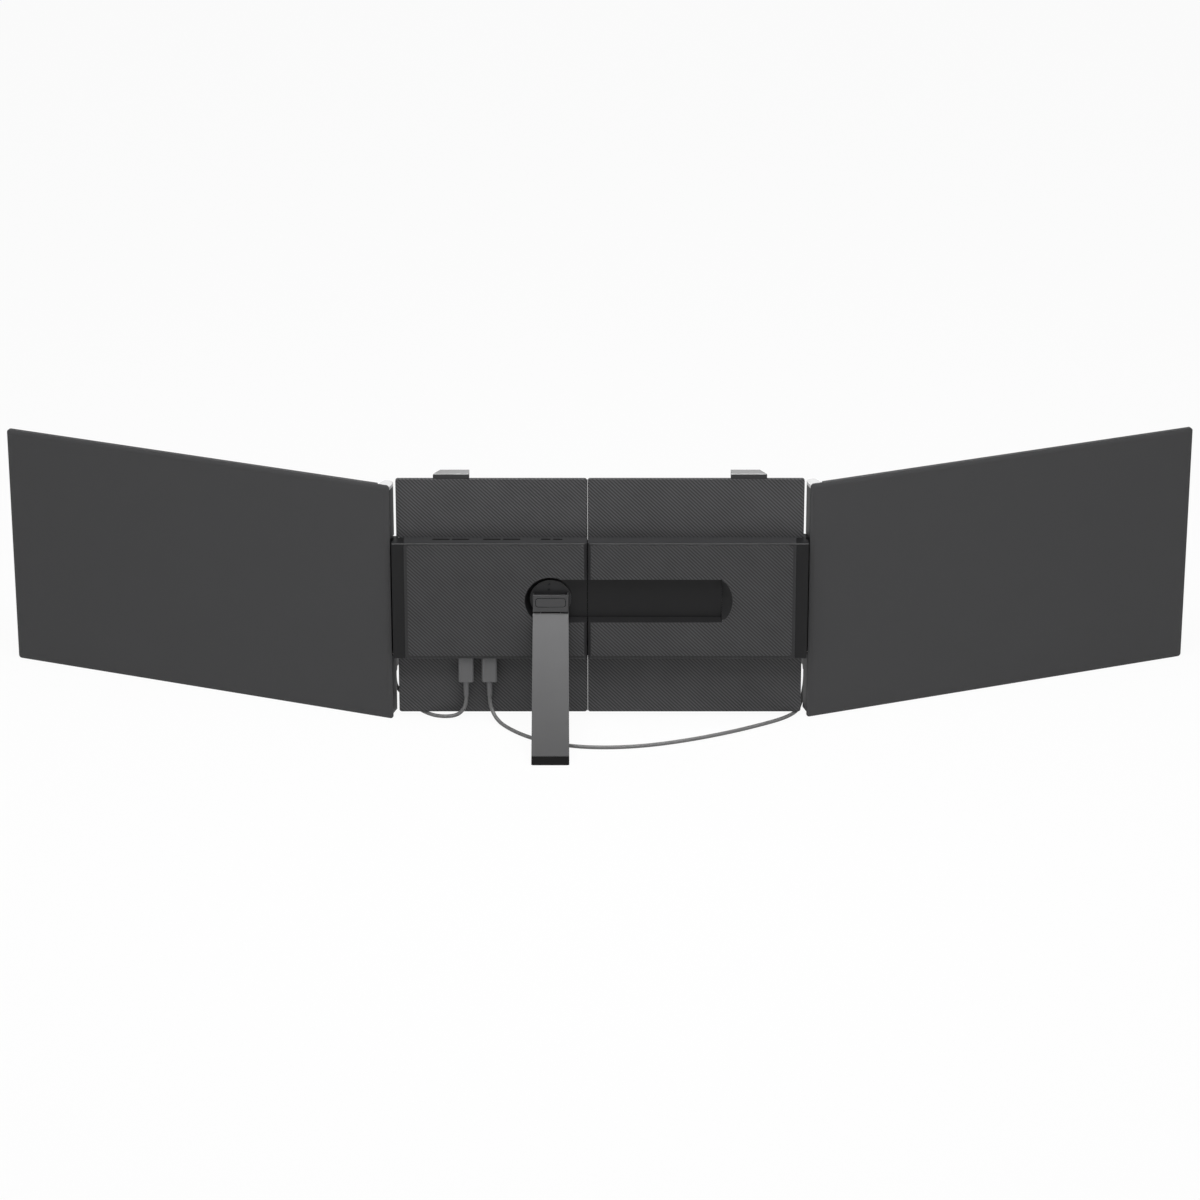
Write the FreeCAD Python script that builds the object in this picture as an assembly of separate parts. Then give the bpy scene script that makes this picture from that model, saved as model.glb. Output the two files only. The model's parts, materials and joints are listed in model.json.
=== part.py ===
import FreeCAD, Part
import math
import os
from FreeCAD import Vector

# Laptop screen extender: two side screens hinged on a frame that slides open, with hooks for
# the laptop's lid and a kickstand. Millimetres. X runs along the frame, seen from behind, Y
# points to the user and Z is up. While it is built, Y is 0 on the back face of the frame's
# plates and Z is 0 on the table. The left half is built as a right half and then mirrored.

# Frame plates
FRAME_HALF_WIDTH = 158.0
FRAME_LIFT = 3.5
FRAME_HEIGHT = 199.6
BACK_PLATE = 2.0
FRONT_COVER = 1.0
PLATE_CORNER = 2.0
SEAM_X = -9.8
SEAM_GAP = 0.6
SLIDE_TRAVEL = 70.0
ORIGIN_DEPTH = 10.6

# Raised housing
HOUSING_LOW = 55.0
HOUSING_HIGH = 154.0
HOUSING_DEPTH = 12.0
HOUSING_END = 152.0
HOUSING_WALL = 1.8
HOUSING_ROUND = 1.6
SEAM_CHAMFER = 2.1
INLAY_THICKNESS = 0.5
INLAY_BORDER = 1.4
INLAY_END_BORDER = 2.4
INLAY_LOW_BORDER = 3.0
INLAY_MARGIN = 0.4
INLAY_CORNER = 3.0
VENT_WIDTH = 1.8
VENT_DEPTH_FROM_PLATE = 3.8
VENTS = ((123.2, 13.7), (108.1, 13.7), (83.8, 13.7), (68.6, 13.7), (42.1, 7.6), (32.8, 7.6))

# Recess for the kickstand
STAND_X = -38.4
STAND_Z = 105.0
RECESS_FLOOR = 6.0
RECESS_HALF_AT_FLOOR = 16.35
RECESS_HALF_AT_FACE = 18.2
RECESS_END = 94.9
RECESS_WALL = 1.6
FINGER_NOTCH = 8.0
SEAT_AT_FLOOR = 16.4
SEAT_AT_FACE = 20.0

# Kickstand
DISC_RADIUS = 16.0
DISC_THICKNESS = 1.5
DISC_GAP = 0.1
SPIGOT_RADIUS = 8.0
RETAINER_RADIUS = 11.0
RETAINER_THICKNESS = 1.2
DISC_SCREWS = ((-1.0, 12.5), (-1.2, 8.0))
DISC_SCREW_HEAD = 0.9
DISC_SCREW_PROUD = 0.4
LEG_WIDTH = 27.8
LEG_FOOT_WIDTH = 29.4
LEG_THICKNESS = 2.7
LEG_SKIN = 2.6
LEG_BEVEL = 1.2
LEG_PIVOT_DROP = 11.7
LEG_PIVOT_DEPTH = 10.0
LEG_LENGTH = 121.0
LEG_FOOT = 6.5
LEG_PIN_RADIUS = 1.0
LEG_BARREL = 2.1
LEG_BARREL_INSET = 2.3
BRACKET_WIDTH = 15.0
BRACKET_DEPTH = 0.8
BRACKET_DROP = 1.5
DECK_RISE = 4.0
DECK_HEIGHT = 11.0
COVER_GAP = 3.1
COVER_HEIGHT = 14.1
COVER_DEPTH = 13.4
COVER_WALL = 1.0
COVER_FACE = 1.6
COVER_ROUND = 0.7
RUNNING_FIT = 0.05
SIDE_CLEARANCE = 0.3

# Slide rails
RAIL_CENTRES = (75.0, 136.0)
RAIL_HEIGHT = 10.0
RAIL_THICKNESS = 2.5
RAIL_GAP = 0.1
RAIL_FIXED_END = -110.0
RAIL_STOP = 4.0
SHOE_LENGTH = 32.0
SHOE_WALL = 1.7
SHOE_SHOULDER = 2.9

# Hub with two USB-C sockets
HUB_PORT_X = (-105.0, -86.7)
HUB_PORT_DEPTH = 6.0
HUB_BOARD_THICKNESS = 1.2
HUB_BOARD_MARGIN = 22.0
HUB_BOARD_TOP = 118.0
HUB_CHIPS = ((-7.0, 26.0, 14.0, 1.2), (-22.0, 24.0, 8.0, 1.0), (13.0, 30.0, 8.0, 1.0))
SOCKET_WIDTH = 9.0
SOCKET_THICKNESS = 3.25
SOCKET_LENGTH = 7.5
SOCKET_SHELL = 0.3
TIP_WIDTH = 8.2
TIP_THICKNESS = 2.4
PLUG_WIDTH = 12.0
PLUG_THICKNESS = 6.0
PLUG_LENGTH = 21.5
PLUG_GAP = 0.2
RELIEF_RADIUS = 2.4
RELIEF_LENGTH = 13.3

# Screens
SCREEN_WIDTH = 326.0
SCREEN_HEIGHT = 200.2
SCREEN_THICKNESS = 4.5
SCREEN_CORNER = 2.5
SCREEN_SWING = 20.0
SCREEN_EDGE_X = 163.3
BEVEL_WIDTH = 4.0
BEVEL_DEPTH = 1.6
COVER_SKIN = 1.4
RIM = 2.0
PANEL_THICKNESS = 2.2
PANEL_GAP = 0.2
GLASS_THICKNESS = 0.8

# Spine along each screen's inner edge
SPINE_SEAT = 2.6
SPINE_WIDTH = 10.3
SPINE_DEPTH = 14.3
SPINE_LIFT = 4.5
SPINE_CAP = 3.0
SPINE_TOP_DROP = 1.2
SPINE_WALL = 1.4
BOARD_THICKNESS = 1.0
BOARD_INSET = 0.5
BOARD_EDGE_GAP = 1.4
SCREEN_PORT_Z = 45.5
SCREEN_PORT_DEPTH = 4.6
SCREEN_PLUG_HEIGHT = 13.0
SCREEN_PLUG_WIDTH = 6.4
SCREEN_PLUG_DEPTH = 7.4
SCREEN_PLUG_GAP = 0.2
SCREEN_RELIEF = 5.0
BUTTON_Z = 176.0
BUTTON_RADIUS = 2.2
BUTTON_SUNK = 0.3
BUTTON_TRAVEL = 0.5
BUTTON_HEIGHT = 2.6
BUTTON_BEVEL = 0.3

# Screen hinges
HINGE_PIN_RADIUS = 2.0
HINGE_BARREL_RADIUS = 4.4
HINGE_FROM_EDGE = 5.0
HINGE_BLOCK_END = 161.5
HINGE_RISER_X = 156.2
HINGE_ARM_RISE = 1.8
HINGE_CLEARANCE = 0.35
HINGE_END_GAP = 0.8
HINGE_WASHER = 0.5
HINGE_PIN_GRIP = 3.9

# Laptop hooks
HOOK_X = 115.0
HOOK_WIDTH = 28.0
HOOK_STRIP_WIDTH = 24.0
HOOK_STRIP = 0.9
HOOK_TRAVEL = 45.0
HOOK_ENGAGED = 23.0
HOOK_RISE = 4.4
HOOK_LIP = 1.8
HOOK_THROAT = 4.7
HOOK_PAD = 0.5
HOOK_TOOTH = 1.2
HOOK_TOOTH_DROP = 2.2
HOOK_SLANT = 5.8
HOOK_GAP = 0.2
CHANNEL_GAP = 0.05

# Fasteners and pads
SCREW_HEAD = 2.2
SCREW_HEAD_HEIGHT = 0.8
SCREW_SHANK = 1.2
SCREW_DEPTH = 8.0
SCREW_INSET = 6.5
SCREW_BOSS = 3.2
PAD_LENGTH = 96.0
PAD_HEIGHT = 9.0
PAD_THICKNESS = 0.6
PAD_INSET = 24.0

# Cables
CABLE_RADIUS = 1.5
ARC_SHARE = 0.45
LEFT_CABLE = (
    (-105.0, -6.0, 20.0),
    (-105.0, -6.0, 12.0),
    (-110.8, -5.6, 3.6),
    (-120.0, -5.2, 1.5),
    (-130.5, -3.2, 1.5),
    (-139.0, 4.0, 1.5),
    (-146.5, 8.6, 4.4),
    (-153.4, 10.4, 11.0),
    (-159.4, 11.4, 18.0),
)
RIGHT_CABLE = (
    (-86.7, -6.0, 20.0),
    (-86.7, -6.0, 12.0),
    (-81.0, -13.8, 2.6),
    (-71.0, -27.0, 1.5),
    (-55.5, -42.0, 1.5),
    (-33.0, -54.5, 1.5),
    (-4.0, -60.0, 1.5),
    (32.0, -57.5, 1.5),
    (68.0, -47.0, 1.5),
    (101.0, -33.0, 1.5),
    (128.0, -18.5, 1.5),
    (146.0, -7.0, 1.5),
    (156.0, 5.5, 1.5),
    (158.6, 11.2, 6.2),
    (160.4, 13.6, 14.5),
)
CABLE_RISE = 10.0

PLATE_THICKNESS = BACK_PLATE + FRONT_COVER
FRAME_TOP = FRAME_LIFT + FRAME_HEIGHT
HOOK_STRIP_LENGTH = HOOK_TRAVEL + HOOK_ENGAGED
HOUSING_BACK = -HOUSING_DEPTH
LEG_PIVOT_Z = STAND_Z - LEG_PIVOT_DROP
LEG_INSIDE = LEG_THICKNESS - LEG_SKIN
SPINE_TOP = SCREEN_HEIGHT - SPINE_TOP_DROP
ALONG_Y = Vector(0, 1, 0)
UP = Vector(0, 0, 1)


class Side:
    """One half of the product, built with its screen towards +X."""

    def __init__(self, name, seam_x, edge_y, pivot_depth):
        self.name = name
        self.mirrored = name == "left"
        self.seam = seam_x + SEAM_GAP / 2
        self.edge_y = edge_y
        self.pivot = pivot_depth
        swing = math.radians(SCREEN_SWING)
        shift = Vector(
            HINGE_FROM_EDGE * math.cos(swing) - pivot_depth * math.sin(swing),
            HINGE_FROM_EDGE * math.sin(swing) + pivot_depth * math.cos(swing),
            0,
        )
        self.axis = Vector(SCREEN_EDGE_X, edge_y, 0) + shift

    def place(self, shape):
        """Into its own half of the finished part."""
        if self.mirrored:
            shape = shape.mirror(Vector(0, 0, 0), Vector(1, 0, 0))
        return into_row(shape)

    def swung(self, shape):
        """From the screen's own frame, X outwards and Y to the user, to the open pose."""
        turned = shape.copy()
        turned.rotate(Vector(0, 0, 0), UP, SCREEN_SWING)
        turned.translate(Vector(SCREEN_EDGE_X, self.edge_y, 0))
        return turned


# The right screen's edge lies 3 mm nearer the user, so that it folds over the left one.
LEFT = Side("left", -SEAM_X, edge_y=-7.4, pivot_depth=7.3)
RIGHT = Side("right", SEAM_X, edge_y=-4.35, pivot_depth=8.6)


def into_row(shape):
    """From the building frame to the part's own origin, under the middle of the whole."""
    moved = shape.copy()
    moved.translate(Vector(0, -ORIGIN_DEPTH, 0))
    return moved


def block(low, high):
    """A box between two corners."""
    size = [b - a for a, b in zip(low, high)]
    return Part.makeBox(size[0], size[1], size[2], Vector(*low))


def rod(radius, start, end):
    """A cylinder from one point to another."""
    run = Vector(*end) - Vector(*start)
    return Part.makeCylinder(radius, run.Length, Vector(*start), run)


def edges_along(shape, direction, keep=lambda middle: True):
    """The straight edges that run along a direction and whose middle passes a test."""
    found = []
    for edge in shape.Edges:
        if not isinstance(edge.Curve, Part.Line):
            continue
        run = edge.Vertexes[-1].Point - edge.Vertexes[0].Point
        if run.cross(direction).Length < 1e-6 and keep(edge.CenterOfMass):
            found.append(edge)
    return found


def rounded_block(low, high, radius, direction, keep=lambda middle: True):
    """A box whose edges along a direction are rounded."""
    shape = block(low, high)
    return shape.makeFillet(radius, edges_along(shape, direction, keep))


def prism(points, height, direction):
    """A flat outline pushed along a direction."""
    corners = [Vector(*p) for p in points]
    face = Part.Face(Part.makePolygon(corners + corners[:1]))
    return face.extrude(direction * height)


def frame_plate(side, back, front):
    """One layer of a half's plate, notched where the hinge block rises through it."""
    plate = rounded_block(
        (side.seam, back, FRAME_LIFT),
        (FRAME_HALF_WIDTH, front, FRAME_TOP),
        PLATE_CORNER,
        ALONG_Y,
    )
    notch = block(
        (HINGE_RISER_X - SIDE_CLEARANCE, back - 1, HOUSING_LOW - SIDE_CLEARANCE),
        (FRAME_HALF_WIDTH + 1, front + 1, HOUSING_HIGH + SIDE_CLEARANCE),
    )
    return plate.cut(notch)


def screw_places(side):
    """Where the four screws of a half go, as X and Z."""
    return [
        (x, z)
        for x in (side.seam + SCREW_INSET + SEAM_CHAMFER, HOUSING_END - SCREW_INSET)
        for z in (HOUSING_LOW + SCREW_INSET, HOUSING_HIGH - SCREW_INSET)
    ]


def back_plate(side):
    """Outer layer: carries the housing, and has the channel that the hook's strip runs in."""
    plate = frame_plate(side, 0, BACK_PLATE)
    half = HOOK_STRIP_WIDTH / 2 + CHANNEL_GAP
    low = FRAME_TOP - HOOK_STRIP_LENGTH - SIDE_CLEARANCE
    channel = block(
        (HOOK_X - half, BACK_PLATE - HOOK_STRIP - 2 * CHANNEL_GAP, low),
        (HOOK_X + half, BACK_PLATE + 1, FRAME_TOP + 1),
    )
    holes = [rod(SCREW_SHANK, (x, -1, z), (x, BACK_PLATE + 1, z)) for x, z in screw_places(side)]
    return plate.cut([channel] + holes)


def front_cover(side):
    """Inner layer, towards the laptop, with counterbores for the screws."""
    cover = frame_plate(side, BACK_PLATE, PLATE_THICKNESS)
    tools = []
    for x, z in screw_places(side):
        tools.append(rod(SCREW_SHANK, (x, 0, z), (x, PLATE_THICKNESS + 1, z)))
        seat = PLATE_THICKNESS - SCREW_HEAD_HEIGHT
        tools.append(rod(SCREW_HEAD, (x, seat, z), (x, PLATE_THICKNESS + 1, z)))
    return cover.cut(tools)


def housing_screws(side):
    """Four screws from the front cover into the housing's bosses."""
    screws = []
    for x, z in screw_places(side):
        seat = PLATE_THICKNESS - SCREW_HEAD_HEIGHT
        head = rod(SCREW_HEAD, (x, seat, z), (x, PLATE_THICKNESS, z))
        shank = rod(SCREW_SHANK, (x, -SCREW_DEPTH, z), (x, seat, z))
        screws.append(head.fuse(shank).removeSplitter())
    return Part.makeCompound(screws)


def lid_pads(side):
    """Two thin strips on the front cover that the laptop's lid leans on."""
    middle = (side.seam + FRAME_HALF_WIDTH) / 2
    strips = []
    for low in (FRAME_LIFT + PAD_INSET, FRAME_TOP - PAD_INSET - PAD_HEIGHT):
        strips.append(
            rounded_block(
                (middle - PAD_LENGTH / 2, PLATE_THICKNESS, low),
                (middle + PAD_LENGTH / 2, PLATE_THICKNESS + PAD_THICKNESS, low + PAD_HEIGHT),
                PAD_HEIGHT / 2 - 0.1,
                ALONG_Y,
            )
        )
    return Part.makeCompound(strips)


def scoop_circle():
    """Centre X and radius of the finger notch's arc on the housing's face."""
    radius = (RECESS_HALF_AT_FACE**2 + FINGER_NOTCH**2) / (2 * FINGER_NOTCH)
    return RECESS_END + FINGER_NOTCH - radius, radius


def recess(grow=0.0):
    """The hollow that the folded leg lies in, in the finished part's left and right.

    A trough with sloping walls runs from the kickstand's round seat to a scooped finger notch.
    With grow it is larger all round, which leaves the trough's walls inside the housing.
    """
    floor = -RECESS_FLOOR + grow
    face = HOUSING_BACK - 1
    slope = (RECESS_HALF_AT_FACE - RECESS_HALF_AT_FLOOR) / (HOUSING_DEPTH - RECESS_FLOOR)

    def half_height(y):
        return RECESS_HALF_AT_FLOOR + grow + slope * (-RECESS_FLOOR - y)

    def ring(y):
        half = half_height(y)
        low, high = STAND_Z - half, STAND_Z + half
        end = RECESS_END + grow
        corners = [
            Vector(STAND_X, y, low),
            Vector(end, y, low),
            Vector(end, y, high),
            Vector(STAND_X, y, high),
        ]
        return Part.makePolygon(corners + corners[:1])

    trough = Part.makeLoft([ring(floor), ring(face)], True, True)

    def cone(x, at_floor, at_face):
        rise = (at_face - at_floor) / (HOUSING_DEPTH - RECESS_FLOOR)
        return Part.makeCone(
            at_floor + grow + rise * (-RECESS_FLOOR - floor),
            at_floor + grow + rise * (-RECESS_FLOOR - face),
            floor - face,
            Vector(x, floor, STAND_Z),
            Vector(0, -1, 0),
        )

    seat = cone(STAND_X, SEAT_AT_FLOOR, SEAT_AT_FACE)
    scoop_x, scoop_face = scoop_circle()
    scoop = cone(scoop_x, RECESS_END - scoop_x, scoop_face)
    reach = RECESS_HALF_AT_FACE + grow
    bounds = block(
        (RECESS_END - 1, face - 1, STAND_Z - reach),
        (RECESS_END + 3 * FINGER_NOTCH, 0, STAND_Z + reach),
    )
    return trough.fuse([seat, scoop.common(bounds)]).removeSplitter()


def recess_on(side, grow=0.0):
    shape = recess(grow)
    if side.mirrored:
        shape = shape.mirror(Vector(0, 0, 0), Vector(1, 0, 0))
    return shape


def housing(side):
    """Raised half housing: an open shell with the trough's walls moulded in."""
    shell = block(
        (side.seam, HOUSING_BACK, HOUSING_LOW),
        (HOUSING_END, 0, HOUSING_HIGH),
    )
    shell = shell.makeFillet(
        HOUSING_ROUND,
        edges_along(shell, Vector(1, 0, 0), lambda middle: middle.y < HOUSING_BACK + 0.1),
    )
    seam, reach = side.seam, SEAM_CHAMFER
    groove = prism(
        [
            (seam - 1, HOUSING_BACK - 1, HOUSING_LOW - 1),
            (seam + reach + 1, HOUSING_BACK - 1, HOUSING_LOW - 1),
            (seam - 1, HOUSING_BACK + reach + 1, HOUSING_LOW - 1),
        ],
        HOUSING_HIGH - HOUSING_LOW + 2,
        UP,
    )
    shell = shell.cut(groove)
    cavity = block(
        (side.seam + HOUSING_WALL, HOUSING_BACK + HOUSING_WALL, HOUSING_LOW + HOUSING_WALL),
        (HOUSING_END - HOUSING_WALL, 1, HOUSING_HIGH - HOUSING_WALL),
    )
    cavity = cavity.cut(recess_on(side, RECESS_WALL))
    bosses = []
    for x, z in screw_places(side):
        boss = rod(SCREW_BOSS, (x, HOUSING_BACK + HOUSING_WALL, z), (x, 0, z))
        bosses.append(boss.cut(rod(SCREW_SHANK, (x, -SCREW_DEPTH, z), (x, 1, z))))
    if side.mirrored:
        bosses += board_bosses()
    shell = shell.cut(cavity).fuse(bosses).removeSplitter()
    tools = [recess_on(side)]
    for z in RAIL_CENTRES:
        half = RAIL_HEIGHT / 2 + SHOE_SHOULDER + SIDE_CLEARANCE
        depth = RAIL_GAP * 2 + RAIL_THICKNESS + SHOE_WALL + SIDE_CLEARANCE
        tools.append(
            block((side.seam - 1, -depth, z - half), (side.seam + HOUSING_WALL + 1, 1, z + half))
        )
    if side.mirrored:
        tools += vents() + port_holes()
        hole = SPIGOT_RADIUS + RUNNING_FIT
        tools.append(rod(hole, (-STAND_X, -RECESS_FLOOR - 1, STAND_Z), (-STAND_X, 0, STAND_Z)))
    return shell.cut(tools)


def vents():
    """Round-ended slots in the top wall of the left housing."""
    slots = []
    for x, length in VENTS:
        slots.append(
            rounded_block(
                (x - length / 2, -VENT_DEPTH_FROM_PLATE - VENT_WIDTH / 2, HOUSING_HIGH - 3),
                (x + length / 2, -VENT_DEPTH_FROM_PLATE + VENT_WIDTH / 2, HOUSING_HIGH + 1),
                VENT_WIDTH / 2 - 0.05,
                UP,
            )
        )
    return slots


def board_edges():
    """The hub board's low and high X, on the mirrored left half."""
    ports = [-x for x in HUB_PORT_X]
    return min(ports) - HUB_BOARD_MARGIN, max(ports) + HUB_BOARD_MARGIN


def board_face():
    """Depth of the hub board's face that carries the sockets."""
    return -HUB_PORT_DEPTH - SOCKET_THICKNESS / 2


def board_bosses():
    """Four posts on the left housing's back wall that carry the hub board."""
    low_x, high_x = board_edges()
    inset = SCREW_BOSS + 1
    posts = []
    for x in (low_x + inset, high_x - inset):
        for z in (HOUSING_LOW + 2 * HOUSING_WALL + inset, HUB_BOARD_TOP - inset):
            back = HOUSING_BACK + HOUSING_WALL
            posts.append(rod(SCREW_BOSS, (x, back, z), (x, board_face() - HUB_BOARD_THICKNESS, z)))
    return posts


def hub_board():
    """Circuit board with its main chips."""
    low_x, high_x = board_edges()
    face = board_face()
    low = HOUSING_LOW + HOUSING_WALL + SIDE_CLEARANCE
    board = block((low_x, face - HUB_BOARD_THICKNESS, low), (high_x, face, HUB_BOARD_TOP))
    middle = (low_x + high_x) / 2
    chips = []
    for x, z, size, height in HUB_CHIPS:
        corner = (middle + x, face, low + z)
        chips.append(block(corner, (middle + x + size, face + height, low + z + size)))
    return board.fuse(chips).removeSplitter()


def hub_ports():
    """Two USB-C sockets, shells open downwards."""
    sockets = []
    for x in HUB_PORT_X:
        sockets.append(socket(-x, -HUB_PORT_DEPTH, HOUSING_LOW))
    return Part.makeCompound(sockets)


def socket(x, y, mouth):
    """A socket's shell whose mouth faces down."""
    wide, thick = SOCKET_WIDTH / 2, SOCKET_THICKNESS / 2
    outer = rounded_block(
        (x - wide, y - thick, mouth),
        (x + wide, y + thick, mouth + SOCKET_LENGTH),
        thick - 0.1,
        UP,
    )
    wide -= SOCKET_SHELL
    thick -= SOCKET_SHELL
    inner = rounded_block(
        (x - wide, y - thick, mouth - 1),
        (x + wide, y + thick, mouth + SOCKET_LENGTH - 2 * SOCKET_SHELL),
        thick - 0.1,
        UP,
    )
    return outer.cut(inner)


def port_holes():
    """Openings in the left housing's bottom wall, shaped like the sockets."""
    holes = []
    wide, thick = SOCKET_WIDTH / 2 + RUNNING_FIT, SOCKET_THICKNESS / 2 + RUNNING_FIT
    for x in HUB_PORT_X:
        holes.append(
            rounded_block(
                (-x - wide, -HUB_PORT_DEPTH - thick, HOUSING_LOW - 1),
                (-x + wide, -HUB_PORT_DEPTH + thick, HOUSING_LOW + HOUSING_WALL + 1),
                thick - 0.1,
                UP,
            )
        )
    return holes


def hub_plug(x):
    """A cable's plug: metal tip in the socket, moulded body and tapered strain relief."""
    top = HOUSING_LOW - PLUG_GAP
    body = rounded_block(
        (x - PLUG_WIDTH / 2, -HUB_PORT_DEPTH - PLUG_THICKNESS / 2, top - PLUG_LENGTH),
        (x + PLUG_WIDTH / 2, -HUB_PORT_DEPTH + PLUG_THICKNESS / 2, top),
        2.0,
        UP,
    )
    tip = rounded_block(
        (x - TIP_WIDTH / 2, -HUB_PORT_DEPTH - TIP_THICKNESS / 2, top - 1),
        (x + TIP_WIDTH / 2, -HUB_PORT_DEPTH + TIP_THICKNESS / 2, top + SOCKET_LENGTH - 1.5),
        TIP_THICKNESS / 2 - 0.05,
        UP,
    )
    relief = Part.makeCone(
        RELIEF_RADIUS,
        CABLE_RADIUS + 0.5,
        RELIEF_LENGTH,
        Vector(x, -HUB_PORT_DEPTH, top - PLUG_LENGTH),
        -UP,
    )
    return body.fuse([tip, relief]).removeSplitter()


def inlay(side):
    """Textured sheet on the housing's back, cut out round the recess."""
    sheet = rounded_block(
        (side.seam + SEAM_CHAMFER + 0.3, HOUSING_BACK - INLAY_THICKNESS, HOUSING_LOW + INLAY_LOW_BORDER),
        (HOUSING_END - INLAY_END_BORDER, HOUSING_BACK, HOUSING_HIGH - INLAY_BORDER),
        INLAY_CORNER,
        ALONG_Y,
        lambda middle: middle.x > HOUSING_END - 10,
    )
    margin = RECESS_HALF_AT_FACE + INLAY_MARGIN
    back = HOUSING_BACK - 2
    seat = rod(SEAT_AT_FACE + INLAY_MARGIN, (STAND_X, back, STAND_Z), (STAND_X, 0, STAND_Z))
    scoop_x, scoop_face = scoop_circle()
    scoop = rod(scoop_face + INLAY_MARGIN, (scoop_x, back, STAND_Z), (scoop_x, 0, STAND_Z))
    scoop = scoop.common(
        block((scoop_x, back, STAND_Z - margin), (RECESS_END + 40, 0, STAND_Z + margin))
    )
    slot = block((STAND_X, back, STAND_Z - margin), (RECESS_END, 0, STAND_Z + margin))
    hole = seat.fuse([slot, scoop])
    if side.mirrored:
        hole = hole.mirror(Vector(0, 0, 0), Vector(1, 0, 0))
    return sheet.cut(hole)


def slide_rail(z):
    """Flat steel rail, fixed on the left plate and running into the right half."""
    low, high = z - RAIL_HEIGHT / 2, z + RAIL_HEIGHT / 2
    free_end = RIGHT.seam + SHOE_LENGTH + HOUSING_WALL + SLIDE_TRAVEL + RAIL_STOP + 1
    back = -RAIL_GAP - RAIL_THICKNESS
    bar = block((RAIL_FIXED_END, back, low), (free_end, -RAIL_GAP, high))
    foot = block((RAIL_FIXED_END, back, low), (SEAM_X - 8, 0, high))
    stop = block(
        (free_end - RAIL_STOP, back, low - SHOE_SHOULDER + 0.5),
        (free_end, -RAIL_GAP, high + SHOE_SHOULDER - 0.5),
    )
    return into_row(bar.fuse([foot, stop]).removeSplitter())


def rail_shoes():
    """Two guide shoes on the right plate that the rails run through."""
    shoes = []
    start = RIGHT.seam + HOUSING_WALL
    for z in RAIL_CENTRES:
        half = RAIL_HEIGHT / 2
        depth = 2 * RAIL_GAP + RAIL_THICKNESS
        outer = block(
            (start, -depth - SHOE_WALL, z - half - SHOE_SHOULDER),
            (start + SHOE_LENGTH, 0, z + half + SHOE_SHOULDER),
        )
        slot = block(
            (start - 1, -depth, z - half - RAIL_GAP),
            (start + SHOE_LENGTH + 1, 1, z + half + RAIL_GAP),
        )
        shoes.append(outer.cut(slot))
    return Part.makeCompound(shoes)


def hinge_block(side):
    """Dark end piece of the housing, with the arm and barrel that carry the screen.

    Its outer side is hollowed where the screen's edge swings past, back to the flat pose.
    """
    x, y = side.axis.x, side.axis.y
    base = block(
        (HOUSING_END, HOUSING_BACK, HOUSING_LOW),
        (HINGE_BLOCK_END, 0, HOUSING_HIGH),
    )
    base = base.makeFillet(
        HOUSING_ROUND,
        edges_along(base, Vector(1, 0, 0), lambda middle: middle.y < HOUSING_BACK + 0.1),
    )
    arm_low = y - (side.pivot - SCREEN_THICKNESS) + HINGE_CLEARANCE
    arm_high = y + HINGE_ARM_RISE
    pocket_x = x - HINGE_FROM_EDGE - HINGE_CLEARANCE
    reach = math.hypot(HINGE_FROM_EDGE, side.pivot) + HINGE_CLEARANCE
    sweep = rod(reach, (x, y, HOUSING_LOW - 1), (x, y, HOUSING_HIGH + 1))
    pocket = sweep.common(
        block((pocket_x, -50, HOUSING_LOW - 1), (x, arm_low, HOUSING_HIGH + 1))
    )
    riser = block((HINGE_RISER_X, -1, HOUSING_LOW), (pocket_x, arm_high, HOUSING_HIGH))
    arm = block((HINGE_RISER_X, arm_low, HOUSING_LOW), (x, arm_high, HOUSING_HIGH))
    barrel = rod(HINGE_BARREL_RADIUS, (x, y, HOUSING_LOW), (x, y, HOUSING_HIGH))
    bore = rod(HINGE_PIN_RADIUS + RUNNING_FIT, (x, y, HOUSING_LOW - 1), (x, y, HOUSING_HIGH + 1))
    solid = base.cut(pocket).fuse([riser, arm, barrel]).removeSplitter()
    return solid.cut(bore)


def hinge_washers(side):
    """Thin rings between the barrel's ends and the spine."""
    x, y = side.axis.x, side.axis.y
    gap = (HINGE_END_GAP - HINGE_WASHER) / 2
    rings = []
    for low in (HOUSING_LOW - HINGE_END_GAP + gap, HOUSING_HIGH + gap):
        ring = rod(HINGE_BARREL_RADIUS - 0.4, (x, y, low), (x, y, low + HINGE_WASHER))
        hole = rod(HINGE_PIN_RADIUS + RUNNING_FIT, (x, y, low - 1), (x, y, low + 2))
        rings.append(ring.cut(hole))
    return Part.makeCompound(rings)


def hinge_pin(side):
    """Steel pin held by both spine pieces and turning in the barrel."""
    low = HOUSING_LOW - HINGE_END_GAP - HINGE_PIN_GRIP
    high = HOUSING_HIGH + HINGE_END_GAP + HINGE_PIN_GRIP
    x, y = HINGE_FROM_EDGE, side.pivot
    return side.swung(rod(HINGE_PIN_RADIUS, (x, y, low), (x, y, high)))


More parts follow.
